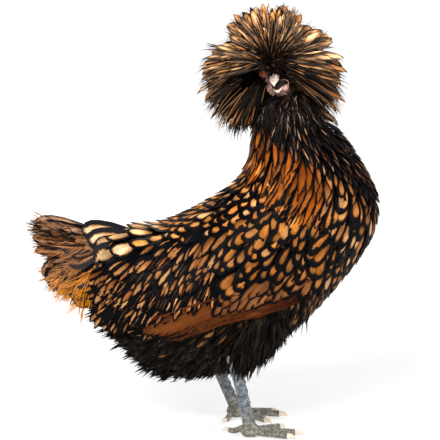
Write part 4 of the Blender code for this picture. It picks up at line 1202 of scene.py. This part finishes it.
def gathered(turn, tip):
    """Directions drawn part of the way to the nearest tuft's, so that neighbours end in shared points."""
    tufts, own = direction(*even_directions(CREST_TUFTS)), direction(turn, tip)
    ends = unit(mix(own, tufts[np.argmax(own @ tufts.T, axis=1)], TUFT_PULL))
    change = wrapped(np.arctan2(ends[:, 2], ends[:, 1]) - turn)
    return turn + change, np.arccos(np.clip(ends[:, 0], -1, 1))


def finer(path, parts=4):
    """Paths with points added between each two by straight lines."""
    share = (np.arange(parts) / parts)[None, None, :, None]
    between = path[:, :-1, None] * (1 - share) + path[:, 1:, None] * share
    return np.concatenate([between.reshape(len(path), -1, 3), path[:, -1:]], axis=1)


def crest_paths(rng, count, steps, span, arch, jitter=0.06):
    """Paths from the core to tips on a globe: along a meridian away from the whorl, the reach growing as
    1 - (1 - v)^1.35 and the angle as v^1.4. The rear ones hang by v^2, all are bent away from clefts and
    turned aside at random by v^1.6, and those that would hide the face are left out."""
    pole, right, up = crest_axes()
    turn, tip = even_directions(count)
    turn = turn + rng.normal(0, jitter, count)
    tip = np.clip(tip + rng.normal(0, jitter * 0.6, count), 0.05, math.pi)
    root = np.maximum(tip - arch, 0.3 * tip)
    end_turn, end_tip = gathered(turn, tip)
    push = np.zeros(count)
    for cleft in np.radians(CREST_CLEFTS):
        away = wrapped(turn - cleft)
        push += 0.17 * np.sign(away) * np.exp(-np.abs(away) / 0.24)
    spin = (end_turn + push * np.sin(tip))[:, None] * steps + turn[:, None] * (1 - steps)
    spin = turned(spin, right, up)
    degrees = (np.degrees(turn) + 120) % 360 - 120
    rim = 1 + (np.interp(degrees, *CREST_RIM.T) - 1) * np.sin(tip) ** 2
    reach = CREST_SPAN * span * rim * (0.80 + 0.20 * np.sin(np.minimum(tip, 1.6)))
    reach = reach * rng.uniform(0.86, 1.06, count)
    aim = turned(root[:, None] + (end_tip - root)[:, None] * steps**1.4, pole, spin)
    start = 0.72 * np.linalg.norm(aim[:, 0] * CREST_CORE, axis=1)
    far = start[:, None] + (reach - start)[:, None] * (1 - (1 - steps) ** 1.35)
    path = CREST_CENTRE + aim * far[..., None]
    hang = 0.010 * np.clip(tip - 1.1, 0, 1) + 0.004
    path[..., 2] -= hang[:, None] * steps**2
    aside = rng.normal(0, 0.0042, (count, 1, 1)) * (steps**1.6)[:, None]
    path = outside_trunk(path + np.cross(pole, spin) * aside, 0.05 + 0.08 * steps)
    keep = clear_of_face(finer(path[:, 1:])).all(axis=1)
    return path[keep], np.cross(pole, spin[keep]), turn[keep], tip[keep]


def crest_tone_and_shading(rng, path, tip):
    """How light each crest feather is: the top is lightest, the underside and the whorl stay dark. This is
    partly the feathers' own colour and partly painted light on the top, with painted shade under the crest
    and in the hollow where its feathers part.
    """
    high = ease(path[:, -1, 2] - CREST_CENTRE[2], -0.045, 0.035)
    from_whorl = ease(tip, 0.25, 1.0)
    tone = (0.27 + 0.73 * high) * (0.25 + 0.75 * from_whorl) * rng.uniform(0.6, 1.3, len(tip))
    return np.clip(tone, 0, 1)


def crest_bake(turn, tip):
    """Places in the bake map by direction round the crest."""
    return stacked(np.cos(turn), np.sin(turn)) * (tip / math.pi * 0.48)[:, None] + 0.5


def crest_layer(rng, count, span, width, arch, patched, outline=LANCET):
    """A layer of crest feathers, a share of them with a pale patch towards the tip."""
    path, across, turn, tip = crest_paths(rng, count, np.array(outline[0]), span, arch)
    many = len(path)
    tone = crest_tone_and_shading(rng, path, tip)
    wide = width * rng.uniform(0.75, 1.20, many) * (0.50 + 0.50 * ease(tip, 0.35, 0.95))
    wide = wide * (0.30 + 0.70 * from_face(path))
    grid = strips(path, across, wide, outline, 0.10, 3, rng.normal(0, 0.25, many))
    plain = rng.uniform(0, 1, many) > patched * (0.30 + 0.70 * tone)
    half = np.where(plain, BARE, rng.uniform(0.56, 0.86, many))
    pale = rng.uniform(0, 1, many) < 0.28 + 0.36 * tone
    warmth = np.where(pale, rng.uniform(0.0, 0.4, many), rng.uniform(0.6, 1.0, many))
    # Brown edges, more common on the crest's top, stand partly for a painted sheen on its dark hairs.
    brown = (rng.uniform(0, 1, many) < 0.80 * tone)[:, None]
    # Ground and edges brighten with tone: the crest's own colour, with painted light on its top and painted
    # shade under it and at the whorl.
    ground = mix(CREAM, mix(CREST_GOLD, RUST_GOLD, 1 - tone), warmth) * (0.64 + 1.0 * tone)[:, None]
    edge = np.where(brown, CREST_BROWN_AND_SHEEN, CREST_BLACK) * (0.15 + 1.05 * tone[:, None])
    edge = edge * rng.uniform(0.6, 1.3, (many, 1))
    start = 0.68 - 0.12 * tone + rng.uniform(-0.07, 0.07, many)
    lace = stacked(half, start, rng.uniform(0.88, 0.98, many))
    return plumes(rng, grid, outline[0], crest_bake(turn, tip), ground, edge, lace)


def face_view(points):
    """Points in the head's frame, and how far the line of sight to the beak has risen at them."""
    local = to_head(points)
    return local, 0.45 * np.maximum(local[..., 0] - 0.0135, 0)


def from_face(path):
    """0 for paths that pass close by the line of sight to the beak, rising to 1 away from it."""
    local, sight = face_view(path)
    by_beak = np.hypot(local[..., 1], local[..., 2] + 0.004 - sight)
    by_eye = np.hypot(local[..., 1] + 0.021, local[..., 2] - EYE_PLACE.z - sight) + 0.010
    away = np.minimum(by_beak, by_eye) + 0.05 * (local[..., 0] < 0)
    return ease(away.min(axis=1), 0.014, 0.038)


def crest_wisps(rng, count):
    """Thin loose barbs that stray from the crest's feathers: the far part of a crest path, turned aside."""
    first = 0.35
    steps = np.linspace(first, 1, 5)
    path, across, turn, tip = crest_paths(rng, count, steps, 1.03, 0.66, 0.14)
    many = len(path)
    tone = crest_tone_and_shading(rng, path, tip)
    stray = ((steps - first) / (1 - first))[:, None] ** 1.5
    path = path + across * rng.normal(0, 0.0045, (many, 1, 1)) * stray
    path[..., 2] -= rng.uniform(0, 0.003, (many, 1)) * steps**2
    keep = clear_of_face(path).all(axis=1)
    path, across, turn, tip, tone = (values[keep] for values in (path, across, turn, tip, tone))
    many = len(path)
    warm = (rng.uniform(0, 1, many) < 0.10 + 0.20 * tone)[:, None]
    # The wisps brighten with tone: their own brown, with painted light on the crest's top and painted shade
    # under it.
    dark = WISP_BROWN * (rng.uniform(0.1, 1.1, many) * (0.3 + tone))[:, None]
    ground = np.where(warm, mix(TAN, GOLD, rng.uniform(0, 1, many)) * (0.4 + 0.6 * tone)[:, None], dark)
    grid = strips(path, across, rng.uniform(0.0006, 0.0012, many), (steps, (0.8, 1.0, 0.8, 0.5, 0.05)))
    return plumes(rng, grid, np.linspace(0, 1, 5), crest_bake(turn, tip), ground, dark, WHOLE)


def whorl_barbs(rng, count):
    """Short dark barbs that stand in all directions round the point where the crest's feathers part."""
    pole, right, up = crest_axes()
    turn, tip = rng.uniform(0, 2 * math.pi, count), 0.62 * rng.uniform(0, 1, count) ** 0.6
    side = turned(turn, right, up)
    aim = turned(tip, pole, side)
    root = CREST_CENTRE + aim * CREST_SPAN * rng.uniform(0.40, 0.70, (count, 1))
    lie = unit(aim * 0.55 + side * 0.55 + rng.normal(0, 0.38, (count, 3)))
    path = rays(root, lie, rng.uniform(0.010, 0.022, (count, 1)) * LOCK_STEPS)
    path[..., 2] -= 0.0030 * LOCK_STEPS**2
    keep = clear_of_face(finer(path)).all(axis=1)
    path, lie, turn, tip = (values[keep] for values in (path, lie, turn, tip))
    many = len(path)
    across = np.cross(lie, rng.normal(0, 1, (many, 3)))
    pale = rng.uniform(0, 1, (many, 1)) < 0.10
    dark = WHORL_BROWN * rng.uniform(0.15, 1.6, (many, 1))
    width = rng.uniform(0.0007, 0.0020, many)
    return hairs(rng, path, across, width, crest_bake(turn, tip), np.where(pale, TAN * 0.5, dark), dark)


def clear_of_face(points):
    """Whether points lie clear of the view onto the beak and the eyes, and of the beard below them."""
    local, sight = face_view(points)
    ahead, side, height = np.moveaxis(local, -1, 0)
    far = np.linalg.norm(local, axis=-1)
    by_beak = (ahead > 0.004) & (np.abs(side) < 0.0150) & (height < 0.0070 + sight) & (height > -0.040)
    by_beard = (local @ unit(np.array([0.62, 0, -0.78])) > far * math.cos(math.radians(36))) & (far > 0.018)
    over_eye, beside_eye = np.abs(height - EYE_PLACE.z - sight - 0.001), np.abs(side + 0.0205)
    by_eye = (ahead > -0.002) & (over_eye < 0.0080) & (beside_eye < 0.0110)
    return ~(by_beak | by_eye | by_beard)


def make_crest(rng, material):
    """The crest: four layers of feathers, loose barbs and the whorl."""
    layers = (
        crest_layer(rng, 420, 0.94, 0.0095, 0.66, 0.35, SPEAR),
        crest_layer(rng, 460, 0.86, 0.0090, 0.60, 0.25),
        crest_layer(rng, 300, 0.70, 0.0080, 0.50, 0.10),
        crest_layer(rng, 380, 1.03, 0.0120, 0.64, 1.5, SPEAR),
        crest_wisps(rng, 3400),
        whorl_barbs(rng, 900),
    )
    add_feathers("crest_feathers", layers, material, ["crest"])


BEARD_CORE = np.array([0.0090, 0, -0.0190])


# Tiers of the beard: locks, how far ahead and how far down they point, and their length
BEARD_TIERS = (
    (34, 0.20, 0.75, 0.030),
    (38, 0.50, 0.75, 0.030),
    (38, 0.85, 0.72, 0.027),
    (34, 1.20, 0.70, 0.022),
    (26, 1.50, 0.62, 0.015),
)


def beard_rays(fan, ahead, drop, side):
    """Roots and directions of beard locks by their angle round the beak."""
    aim = unit(stacked(ahead * np.cos(fan), np.sin(fan), -drop) @ HEAD_TURN.T)
    return in_head(BEARD_CORE + stacked(0, side * np.sin(fan), 0)), aim


def make_beard(rng, material):
    """Locks that fan from under the beak and along the cheeks, and bend down by v^2."""
    batches, steps = [], np.array(POINTED[0])
    for count, ahead, drop, length in BEARD_TIERS:
        fan = np.radians(np.linspace(-92, 92, count) + rng.normal(0, 4, count))
        root, aim = beard_rays(fan, ahead, drop, 0.007)
        path = rays(root, aim, 0.003 + length * rng.uniform(0.8, 1.12, (count, 1)) * steps)
        path[..., 2] -= 0.009 * steps**2
        path = outside_trunk(path, 0.05 + 0.06 * steps)
        width, twist = rng.uniform(0.0045, 0.0075, count), rng.normal(0, 0.3, count)
        grid = strips(path, np.cross(aim, (0, 0, -1.0)), width, POINTED, 0.14, 3, twist)
        warm = rng.uniform(0, 1, count) < 0.22
        ground, edge = TAN * rng.uniform(0.5, 1.1, (count, 1)), BLACK * rng.uniform(0.8, 2.6, (count, 1))
        bake, lace = stacked(fan / 8 + 0.5, ahead * 0.4 + 0.1), stacked(np.where(warm, 0.3, BARE), 0.4, 1.0)
        batches.append(plumes(rng, grid, steps, bake, ground, edge, lace))
    batches.append(beard_wisps(rng, 1100))
    add_feathers("beard_locks", batches, material, ["beard"])


def beard_wisps(rng, count):
    """Thin hairs over the beard, some of them pale."""
    fan = np.radians(rng.uniform(-100, 100, count))
    ahead = rng.uniform(0.1, 1.7, count)
    root, aim = beard_rays(fan, ahead, 0.72, 0.008)
    reach = np.interp(ahead, (0.1, 1.7), (0.040, 0.025)) * rng.uniform(0.6, 1.15, count)
    path = rays(root, aim, 0.003 + reach[:, None] * (0.4 + 0.6 * LOCK_STEPS))
    path = path + rng.normal(0, 0.0055, (count, 1, 3)) * (LOCK_STEPS**1.5)[:, None]
    path[..., 2] -= 0.010 * LOCK_STEPS**2
    path = outside_trunk(path, 0.09 + 0.07 * LOCK_STEPS)
    pale = (rng.uniform(0, 1, count) < 0.04 + 0.08 * (fan > 0.0))[:, None]
    dark = HAIR_BROWN * (0.1 + 2.6 * rng.uniform(0, 1, (count, 1)) ** 3)
    width = rng.uniform(0.0007, 0.0013, count)
    ground = np.where(pale, PALE_HAIR * rng.uniform(0.3, 1.3, (count, 1)), dark)
    bake = stacked(fan / 8 + 0.5, ahead * 0.4 + 0.1)
    return hairs(rng, path, np.cross(aim, (0, 0, -1.0)), width, bake, ground, dark)


# Face: beak, eyes, lids


BEAK_REACH = (0.0128, 0.0296)  # from its base to its tip, ahead of the head's centre
BEAK_LEAN, MOUTH_LEAN = (-0.0030, -0.0012), (-0.0022, -0.0016)  # the beak leaves the face a little sideways
BARE_SKIN = (  # centre and radii of the bare swellings round the beak, in the head's frame
    ((0.0128, -0.0086, -0.0096), (0.0050, 0.0070, 0.0072)),
    ((0.0130, -0.0030, -0.0144), (0.0048, 0.0080, 0.0046)),
    ((0.0120, -0.0088, 0.0000), (0.0042, 0.0042, 0.0062)),
)

# Stations of the beak and of the mouth's inside: forward place, half width, top and bottom height
UPPER_BEAK = (
    (0.0128, 0.0030, 0.0058, -0.0034),
    (0.0168, 0.0040, 0.0050, -0.0030),
    (0.0208, 0.0050, 0.0036, -0.0026),
    (0.0248, 0.0038, 0.0022, -0.0022),
    (0.0282, 0.0018, 0.0008, -0.0022),
    (0.0294, 0.0008, -0.0008, -0.0030),
)
LOWER_BEAK = (
    (0.0128, 0.0062, -0.0062, -0.0112),
    (0.0180, 0.0056, -0.0070, -0.0118),
    (0.0222, 0.0040, -0.0086, -0.0122),
    (0.0254, 0.0016, -0.0098, -0.0121),
)
MOUTH = (
    (0.0110, 0.0092, -0.0024, -0.0088),
    (0.0170, 0.0076, -0.0024, -0.0096),
    (0.0212, 0.0054, -0.0034, -0.0098),
    (0.0240, 0.0026, -0.0078, -0.0106),
)
RIM = np.array(  # half of the lower beak's rim, from the corner of the mouth to the tip
    [
        [0.0110, 0.0068, -0.0046],
        [0.0160, 0.0060, -0.0062],
        [0.0205, 0.0043, -0.0082],
        [0.0242, 0.0020, -0.0099],
        [0.0262, 0.0000, -0.0110],
    ]
)
GAPE = np.array(  # the fold of skin at the corner of the mouth, from above to below
    [
        [0.0168, 0.0018, -0.0028],
        [0.0162, 0.0056, -0.0034],
        [0.0154, 0.0082, -0.0054],
        [0.0150, 0.0085, -0.0086],
        [0.0150, 0.0066, -0.0116],
    ]
)
SKULL_RADII = np.array([0.0165, 0.0145, 0.0170])  # where the face feathers root


def axes_about(out):
    """A turn whose third axis points out and whose first is level."""
    first = unit(np.cross((0, 0, 1.0), out))
    return np.stack([first, np.cross(out, first), out], axis=-1)


def eye_axes(side):
    """An eye's place and its turn, whose third axis looks out."""
    place = np.array([EYE_PLACE.x, EYE_PLACE.y * SIDES[side], EYE_PLACE.z])
    return place, axes_about(unit(np.array([0.50, SIDES[side], 0.06])))


def lip(place, turn, sides, reach, rise, stretch):
    """A closed lip round an opening, a circle of circles: reach is the opening's radius and the lip's half
    width, rise the lip's height and half thickness, and stretch makes the opening oval."""
    around, roll = np.meshgrid(circle(sides, 1), circle(12), indexing="ij")
    far = reach[0] + reach[1] * np.cos(roll)
    height = rise[0] + rise[1] * np.sin(roll)
    ring = stacked(far * np.cos(around) * stretch[0], far * np.sin(around) * stretch[1], height)
    points = in_head((place + ring @ turn.T).reshape(-1, 3))
    return points, grid_faces(1, sides + 1, 12, True).tolist()


def joined_in_head(shapes):
    """One shape from several of the head's frame."""
    points, faces = joined(shapes)
    return in_head(points), faces


def make_beak(material, rim_material):
    """Both halves of the beak with nostrils and a pale rim, the mouth and the skin round them."""
    upper = [oval_tube(UPPER_BEAK, BEAK_LEAN)]
    for sign in (-1, 1):
        turn = axes_about(unit(np.array([0.25, sign, 0.45])))
        place = np.array([0.0170, sign * 0.0040 + BEAK_LEAN[0] + 0.0004, 0.0030])
        upper.append(lip(place, turn, 24, (0.0014, 0.0006), (0, 0.0006), (1.3, 1.0)))
    add_piece("beak_upper_horn", joined(upper), material, ["beak_upper"])
    add_piece("beak_lower_horn", oval_tube(LOWER_BEAK, BEAK_LEAN), material, ["beak_lower"])
    rim = smooth_rows(np.vstack([RIM, RIM[-2::-1] * (1, -1, 1)]), np.linspace(0, 8, 41))
    rim[:, 1] += np.interp(rim[:, 0], BEAK_REACH, BEAK_LEAN)
    add_piece("beak_rim", bead(in_head(rim), np.full(41, 0.0008)), rim_material)
    # The mouth's inside is nearly black: partly its own dark maroon, partly painted shade inside the open
    # beak.
    add_face_part("mouth", oval_tube(MOUTH, MOUTH_LEAN), (0.014, 0.003, 0.002), 0.95)
    wattle = ball((0.0150, 0.0036, -0.0122), (0.0052, 0.0037, 0.0034))
    gape = bead(smooth_rows(GAPE, np.linspace(0, 4, 25)), np.linspace(0.00012, 0.00042, 25))
    add_face_part("gape_flesh", joined_in_head([wattle, gape]), (0.60, 0.34, 0.29), 0.6)
    bare = [ball(centre, radii) for centre, radii in BARE_SKIN]
    add_face_part("face_skin", joined_in_head(bare), (0.50, 0.29, 0.245), 0.7)


def bead(path, radii):
    """A round tube along a path, closed at both ends."""
    beside, front = frame_along(path)
    ring = turned(circle(10), front[:, None], beside[:, None])
    return tube(path[:, None] + ring * radii[:, None, None])


def add_face_part(name, shape, colour, roughness):
    """Soft parts of the face, mottled in their own colour."""
    f = Finish(name.replace("_", " "), roughness=roughness)
    tone = f.noise(f.place(), 300.0, 3.0)
    f.set("Base Color", f.scaled(colour, 0.6 + tone * 0.8))
    f.bump(tone, 0.4, 0.0005)
    add_piece(name, shape, f.material)


def make_eyes(finish, lid_finish):
    """Both eyeballs, with the place of each point seen from the front, and the lids round them."""
    for side in SIDES:
        place, turn = eye_axes(side)
        points, faces = ball(place, [EYE_RADIUS] * 3, turn, 40, 28)
        gaze = (points - place) @ turn / EYE_RADIUS
        shape, uvs = (in_head(points), faces), {"OFBake": gaze[:, :2] * 0.5 + 0.5}
        add_piece(f"eyeball_{side}", shape, finish, [f"eye_{side}"], uvs, {"gaze": gaze})
        lid = lip(place, turn, 40, (0.0050, 0.0015), (0.0030, 0.0009), (1.08, 0.84))
        add_piece(f"eyelid_{side}", lid, lid_finish)


def make_eye_finish():
    """A black pupil in an orange-red iris, by distance from the axis of the eye."""
    f = Finish("eye", roughness=0.05, coat_weight=1.0)
    gaze = f.attribute("gaze", 1)
    x, y, _ = f.parts(gaze)
    iris = f.blend((0.42, 0.10, 0.02), (0.75, 0.27, 0.05), f.noise(gaze, 9.0, 3.0))
    f.set("Base Color", f.blend((0.004,) * 3, iris, f.ease((x * x + y * y) ** 0.5, 0.36, 0.42)))
    return f.material


def make_face_feathers(rng, material):
    """Tiny dark feathers over the skull, cheeks and chin, lying away from the beak."""
    turn, tip = even_directions(900)
    aim = direction(turn, tip)
    local = aim * SKULL_RADII + (-0.002, 0, 0.0008)
    x, y, z = local.T
    by_eye = [np.linalg.norm(local - eye_axes(side)[0], axis=1) <= 0.0092 for side in SIDES]
    by_beak = (x >= 0.0118) & (np.abs(y) <= 0.0085) & (np.abs(z + 0.003) <= 0.012)
    keep = ~(by_eye[0] | by_eye[1] | by_beak) & (x > -0.012)
    local, aim, turn, tip = (values[keep] for values in (local, aim, turn, tip))
    count, back = len(local), np.array([-1.0, 0, -0.25])
    normal = unit(aim / SKULL_RADII)
    lie = unit(back - normal * (normal @ back)[:, None])
    reach = rng.uniform(0.004, 0.007, (count, 1)) * LOCK_STEPS
    path = in_head(rays(local - normal * 0.0006, lie * 0.93 + normal * 0.30, reach))
    brown = rng.uniform(0, 1, count) < 0.06 + 0.60 * ease(local[:, 0], 0.005, 0.011)
    width, bake = rng.uniform(0.0014, 0.0024, count), stacked(turn / 7 + 0.02, tip / 3.3)
    ground, edge = FLESH_BROWN * rng.uniform(0.4, 1.2, (count, 1)), BLACK * rng.uniform(0.8, 2.2, (count, 1))
    lace, across = stacked(np.where(brown, 1.2, 0.03), 0.0, 1.2), np.cross(normal, lie) @ HEAD_TURN.T
    batch = hairs(rng, path, across, width, bake, ground, edge, lace)
    batches = [batch, bristles(rng, 420), nose_tufts(rng, 70)]
    add_feathers("face_feathers", batches, material)


def nose_tufts(rng, count):
    """Dark barbs from both sides of the beak's base, lying forwards, outwards and down over its edges."""
    sign = rng.choice((-1.0, 1.0), count)
    x, y = rng.uniform(0.0120, 0.0150, count), BEAK_LEAN[0] + sign * rng.uniform(0.0008, 0.0050, count)
    root = stacked(x, y, rng.uniform(0.0040, 0.0075, count))
    lie = unit(stacked(0.8, sign * 0.35, -0.30) + rng.normal(0, 0.16, (count, 3)))
    path = in_head(rays(root, lie, rng.uniform(0.004, 0.0075, (count, 1)) * LOCK_STEPS))
    across, width = np.cross((0.3, 0, 1.0), lie) @ HEAD_TURN.T, rng.uniform(0.0005, 0.0010, count)
    ground = mix(BLACK, FLESH_BROWN, rng.uniform(0, 1, count) ** 3)
    return hairs(rng, path, across, width, skin_map(in_head(root)), ground, BLACK)


def bristles(rng, count):
    """Short stiff barbs on the bare skin round the beak, leaning forwards and away from the beak's axis."""
    pick = np.array(BARE_SKIN)[rng.integers(0, len(BARE_SKIN), count)]
    normal = unit(rng.normal(0, 1, (count, 3)) + (0.9, 0, 0))
    root = pick[:, 0] + normal * pick[:, 1] * 0.95
    away = unit((root - (0, -0.0030, -0.0060)) * (0, 1, 1))
    lie = unit(away + 0.5 * normal + rng.normal(0, 0.25, (count, 3)))
    path = in_head(rays(root, lie, rng.uniform(0.0018, 0.0042, (count, 1)) * LOCK_STEPS))
    across, width = np.cross(normal, lie) @ HEAD_TURN.T, rng.uniform(0.0005, 0.0011, count)
    ground = mix(FLESH_BROWN, PINK, rng.uniform(0, 1, count)) * rng.uniform(0.12, 1.5, (count, 1))
    return hairs(rng, path, across, width, skin_map(in_head(root)), ground, BLACK)


# Legs


def frame_along(path):
    """Unit vectors beside a path and to its front or top."""
    along = unit(np.gradient(path, axis=0))
    beside = np.cross(along, (0, 0, 1.0))
    flat = np.linalg.norm(beside, axis=1) < 0.3
    beside[flat] = np.cross(along[flat], (1.0, 0, 0))
    beside = unit(beside)
    return beside, np.cross(beside, along)


def scaled_tube(points, radii, scutes, sides, squash, per):
    """A tube whose front carries overlapping scutes: its radius is r (1 + 0.22 ramp(s) front), where ramp
    rises along each scute and drops at its end, and front is (cos of the angle from the front + 0.25)^0.5.
    It doesn't sink into the floor. Its last column says how far along its scute each point is."""
    count = scutes * per + 1
    line = smooth_rows(np.column_stack([points, radii]), np.linspace(0, len(points) - 1, count))
    path, radius = line[:, None, :3], line[:, 3:]
    beside, front = frame_along(line[:, :3])
    angle = circle(sides)
    phase = (np.linspace(0, scutes, count) % 1)[:, None]
    ramp = phase * (1 - ease(phase, 0.86, 1.0))
    shaped = radius * (1 + 0.22 * ramp * np.clip(np.cos(angle) + 0.25, 0, 1) ** 0.5)
    rings = path + shaped[..., None] * turned(angle, front[:, None] * squash, beside[:, None])
    rings[..., 2] = np.maximum(rings[..., 2], 0)
    surface, faces = tube(rings)
    return np.column_stack([surface, np.append(np.repeat(phase, sides), (0.5, 0.5))]), faces


def toe_knots(side, name):
    """Four points along a toe, from the foot to the claw."""
    turn, length, radius = TOES[name]
    if name == "hind":
        turn = -turn - HIND_TURN[side]
        ahead = -0.002, 0.010, length - 0.006, length
        height = 0.013, 0.0070, radius * 0.60 + 0.0004, radius * 0.60
    else:
        lift = radius * 0.86
        ahead = 0.002, length * 0.30, length * 0.62, length
        height = lift + 0.0030, lift + 0.0008, lift * 1.05, lift * 0.78
    angle = math.radians(turn) * SIDES[side]
    along = (math.cos(angle), math.sin(angle), 0)
    return ANKLE[side] * (1, 1, 0) + np.outer(ahead, along) + np.outer(height, (0, 0, 1))


def add_scaled(name, shape, finish, node):
    """A scaly piece from points with their places along their scutes, and faces."""
    points, faces = shape
    facts = {"scute": points[:, 3]}
    add_piece(name, (points[:, :3], faces), finish, [node], None, facts)


def make_legs(finish, claw_finish):
    """Shanks, feet and claws."""
    for side in SIDES:
        hock, ankle = HOCK[side], ANKLE[side]
        top, foot = hock + (hock - ankle) * 0.14, ankle - (hock - ankle) * 0.04
        share = np.array([0, 0.14, 0.36, 0.82, 1])
        radii = np.array([1.22, 1.14, 0.93, 0.95, 1.10]) * SHANK_RADIUS
        shank = scaled_tube(top + (foot - top) * share[:, None], radii, 15, 40, 1.12, 9)
        add_scaled(f"shank_scales_{side}", shank, finish, f"shank_{side}")
        pad, faces = ball(ankle * (1, 1, 0) + (0.001, 0, 0.0066), (0.0108, 0.0090, 0.0080))
        pad[:, 2] = np.maximum(pad[:, 2], 0)
        shapes = [(np.column_stack([pad, np.full(len(pad), 0.5)]), faces)]
        for name, (_, _, radius) in TOES.items():
            taper, scutes = np.linspace(0.86, 0.66, 4) * radius, 5 if name == "hind" else 11
            shapes.append(scaled_tube(toe_knots(side, name), taper, scutes, 24, 1.0, 7))
        add_scaled(f"foot_scales_{side}", joined(shapes), finish, f"foot_{side}")
        for name in TOES:
            make_claw(side, name, claw_finish)


def make_claw(side, name, finish):
    """A claw: circles that shrink along an arc that sinks to the floor by t^2."""
    knots = toe_knots(side, name)
    root = knots[-1]
    level = unit(unit(root - knots[-2]) * (1, 1, 0))
    t = np.linspace(-0.12, 1, 15)[:, None]
    sunk = np.clip(t, 0, 1)
    height = 0.0012 * np.sin(math.pi * t) - (root[2] - 0.0006) * sunk**2
    path = root + level * CLAW_LENGTH * t + height * (0, 0, 1)
    radius = TOES[name][2] * 0.58 * (1 - sunk**1.6 * 0.93)
    beside, front = frame_along(path)
    rings = path[:, None] + radius[..., None] * turned(circle(20), front[:, None] * 1.15, beside[:, None])
    rings[..., 2] = np.maximum(rings[..., 2], 0.0003)
    node = f"claw_{side}_{name}"
    add_piece(f"{node}_horn", tube(rings), finish, [node])


def make_scale_finish():
    """Mottled slate scales with dark seams, olive near the floor and paler under the down."""
    f = Finish("leg scales", roughness=0.52)
    place = f.place()
    _, _, height = f.parts(place)
    edge = f.cells(place, 600.0)
    rim = 1.0 - f.ease(edge, 0.03, 0.24)
    seam = f.ease(abs(f.attribute("scute", 2) - 0.5), 0.34, 0.47)
    tone = f.ease(f.noise(place, 240.0, 3.0), 0.30, 0.70)
    slate = f.blend((0.115, 0.145, 0.170), (0.40, 0.44, 0.47), tone)
    olive = f.blend((0.165, 0.155, 0.120), (0.46, 0.43, 0.34), tone)
    body = f.blend(olive, slate, f.ease(height, 0.006, 0.040))
    pale = f.blend(body, (0.46, 0.45, 0.41), f.ease(height, 0.066, 0.084) * 0.7)
    f.set("Base Color", f.scaled(pale, (1.0 - rim * 0.66) * (1.0 - seam * 0.55)))
    f.bump(f.ease(edge, 0.0, 0.2) - seam, 0.6, 0.0005)
    return f.material


# Floor, light and camera


def make_stage():
    """A pale floor, lighter far away."""
    f = Finish("studio floor", roughness=0.9, specular_ior_level=0.0, emission_strength=1.0)
    f.set("Base Color", (0.42,) * 3)
    x, y, _ = f.parts(f.place())
    far = f.ease((x * x + y * y) ** 0.5, 0.3, 1.6)
    f.set("Emission Color", f.blend((0.60,) * 3, (0.84,) * 3, far))
    mesh = bpy.data.meshes.new("studio_floor")
    corners = [(x * 14.0, y * 14.0, -0.0002) for x, y in ((-1, -1), (1, -1), (1, 1), (-1, 1))]
    mesh.from_pydata(corners, [], [(0, 1, 2, 3)])
    mesh.materials.append(f.material)
    floor = linked("studio_floor", mesh)


def make_world():
    """A white room: bright to the camera, softer as light on the hen."""
    world = bpy.data.worlds.new("studio")
    bpy.context.scene.world = world
    world.use_nodes = True
    tree = world.node_tree
    background = tree.nodes["Background"]
    background.inputs["Color"].default_value = (1, 1, 1, 1)
    seen = Value(tree, tree.nodes.new("ShaderNodeLightPath").outputs["Is Camera Ray"])
    feed(tree, background.inputs["Strength"], 0.40 + seen * 0.70)


def aimed(name, data, place, target):
    """A light or camera at one place, looking at another."""
    obj = linked(name, data)
    obj.location = place
    obj.rotation_euler = (target - place).to_track_quat("-Z", "Y").to_euler()
    return obj


def make_lights():
    """Three round lamps: by name, place from the hen's middle, size and power."""
    middle = Vector((*SHIFT[:2], 0.24))
    lamps = (
        ("key", (-0.9, -1.8, 1.5), 1.3, 62),
        ("fill", (1.9, -1.3, 0.7), 1.4, 24),
        ("back", (0.3, 1.7, 1.6), 1.2, 26),
    )
    for name, place, size, power in lamps:
        light = bpy.data.lights.new(name, "AREA")
        light.shape, light.size, light.energy = "DISK", size, power
        aimed(name, light, middle + Vector(place), middle)


CAMERA_PLACE = (0.0, -1.60, 0.485)  # from the design origin
CAMERA_TARGET = (0.0, 0.0, 0.2245)
CAMERA_LENS = 125.1  # millimetres on a 36 mm sensor


def make_camera():
    """The camera, at the photo's place."""
    camera = bpy.data.cameras.new("camera")
    camera.lens = CAMERA_LENS
    camera.clip_start = 0.05
    place, target = (Vector(point) + Vector(SHIFT) for point in (CAMERA_PLACE, CAMERA_TARGET))
    bpy.context.scene.camera = aimed("camera", camera, place, target)


def make_hen():
    """All pieces of the hen. Each draws from the same random numbers in turn, so their order matters."""
    rng = np.random.default_rng(20)
    plumage, scaly = make_plumage("plumage", 0.62), make_plumage("scaly plumage", 0.80)
    down = {"roughness": 0.9, "specular_ior_level": 0.05}
    make_skin(mottled("skin and down", BLACK, (0.030, 0.016, 0.008), 38.0, span=(0.42, 0.62), **down))
    for name, batches in trunk_feathers(rng).items():
        finish = scaly if name in ("breast", "back", "cover") else plumage
        add_feathers(f"{name}_feathers", batches, finish)
    make_fluff(rng, plumage)
    for side in SIDES:
        make_wing(rng, side, scaly)
    for make in (make_saddle, make_tail, make_crest, make_beard, make_face_feathers):
        make(rng, plumage)
    horn = {"scale": 320.0, "bump": 0.6, "span": (0.44, 0.66), "roughness": 0.38, "coat_weight": 0.15}
    beak = mottled("beak horn", (0.95, 0.76, 0.68), (0.60, 0.38, 0.32), **horn)
    make_beak(beak, mottled("beak rim", (0.95, 0.86, 0.66), (0.70, 0.56, 0.40), **horn))
    lid = Finish("eyelid", roughness=0.6, base_color=(0.42, 0.095, 0.040)).material
    make_eyes(make_eye_finish(), lid)
    claw = mottled("claw horn", (0.85, 0.77, 0.64), (0.62, 0.48, 0.34), 160.0, detail=2.0, roughness=0.35)
    make_legs(make_scale_finish(), claw)


bpy.context.scene.view_settings.view_transform = "Standard"
make_hen()
make_stage()
make_world()
make_lights()
make_camera()
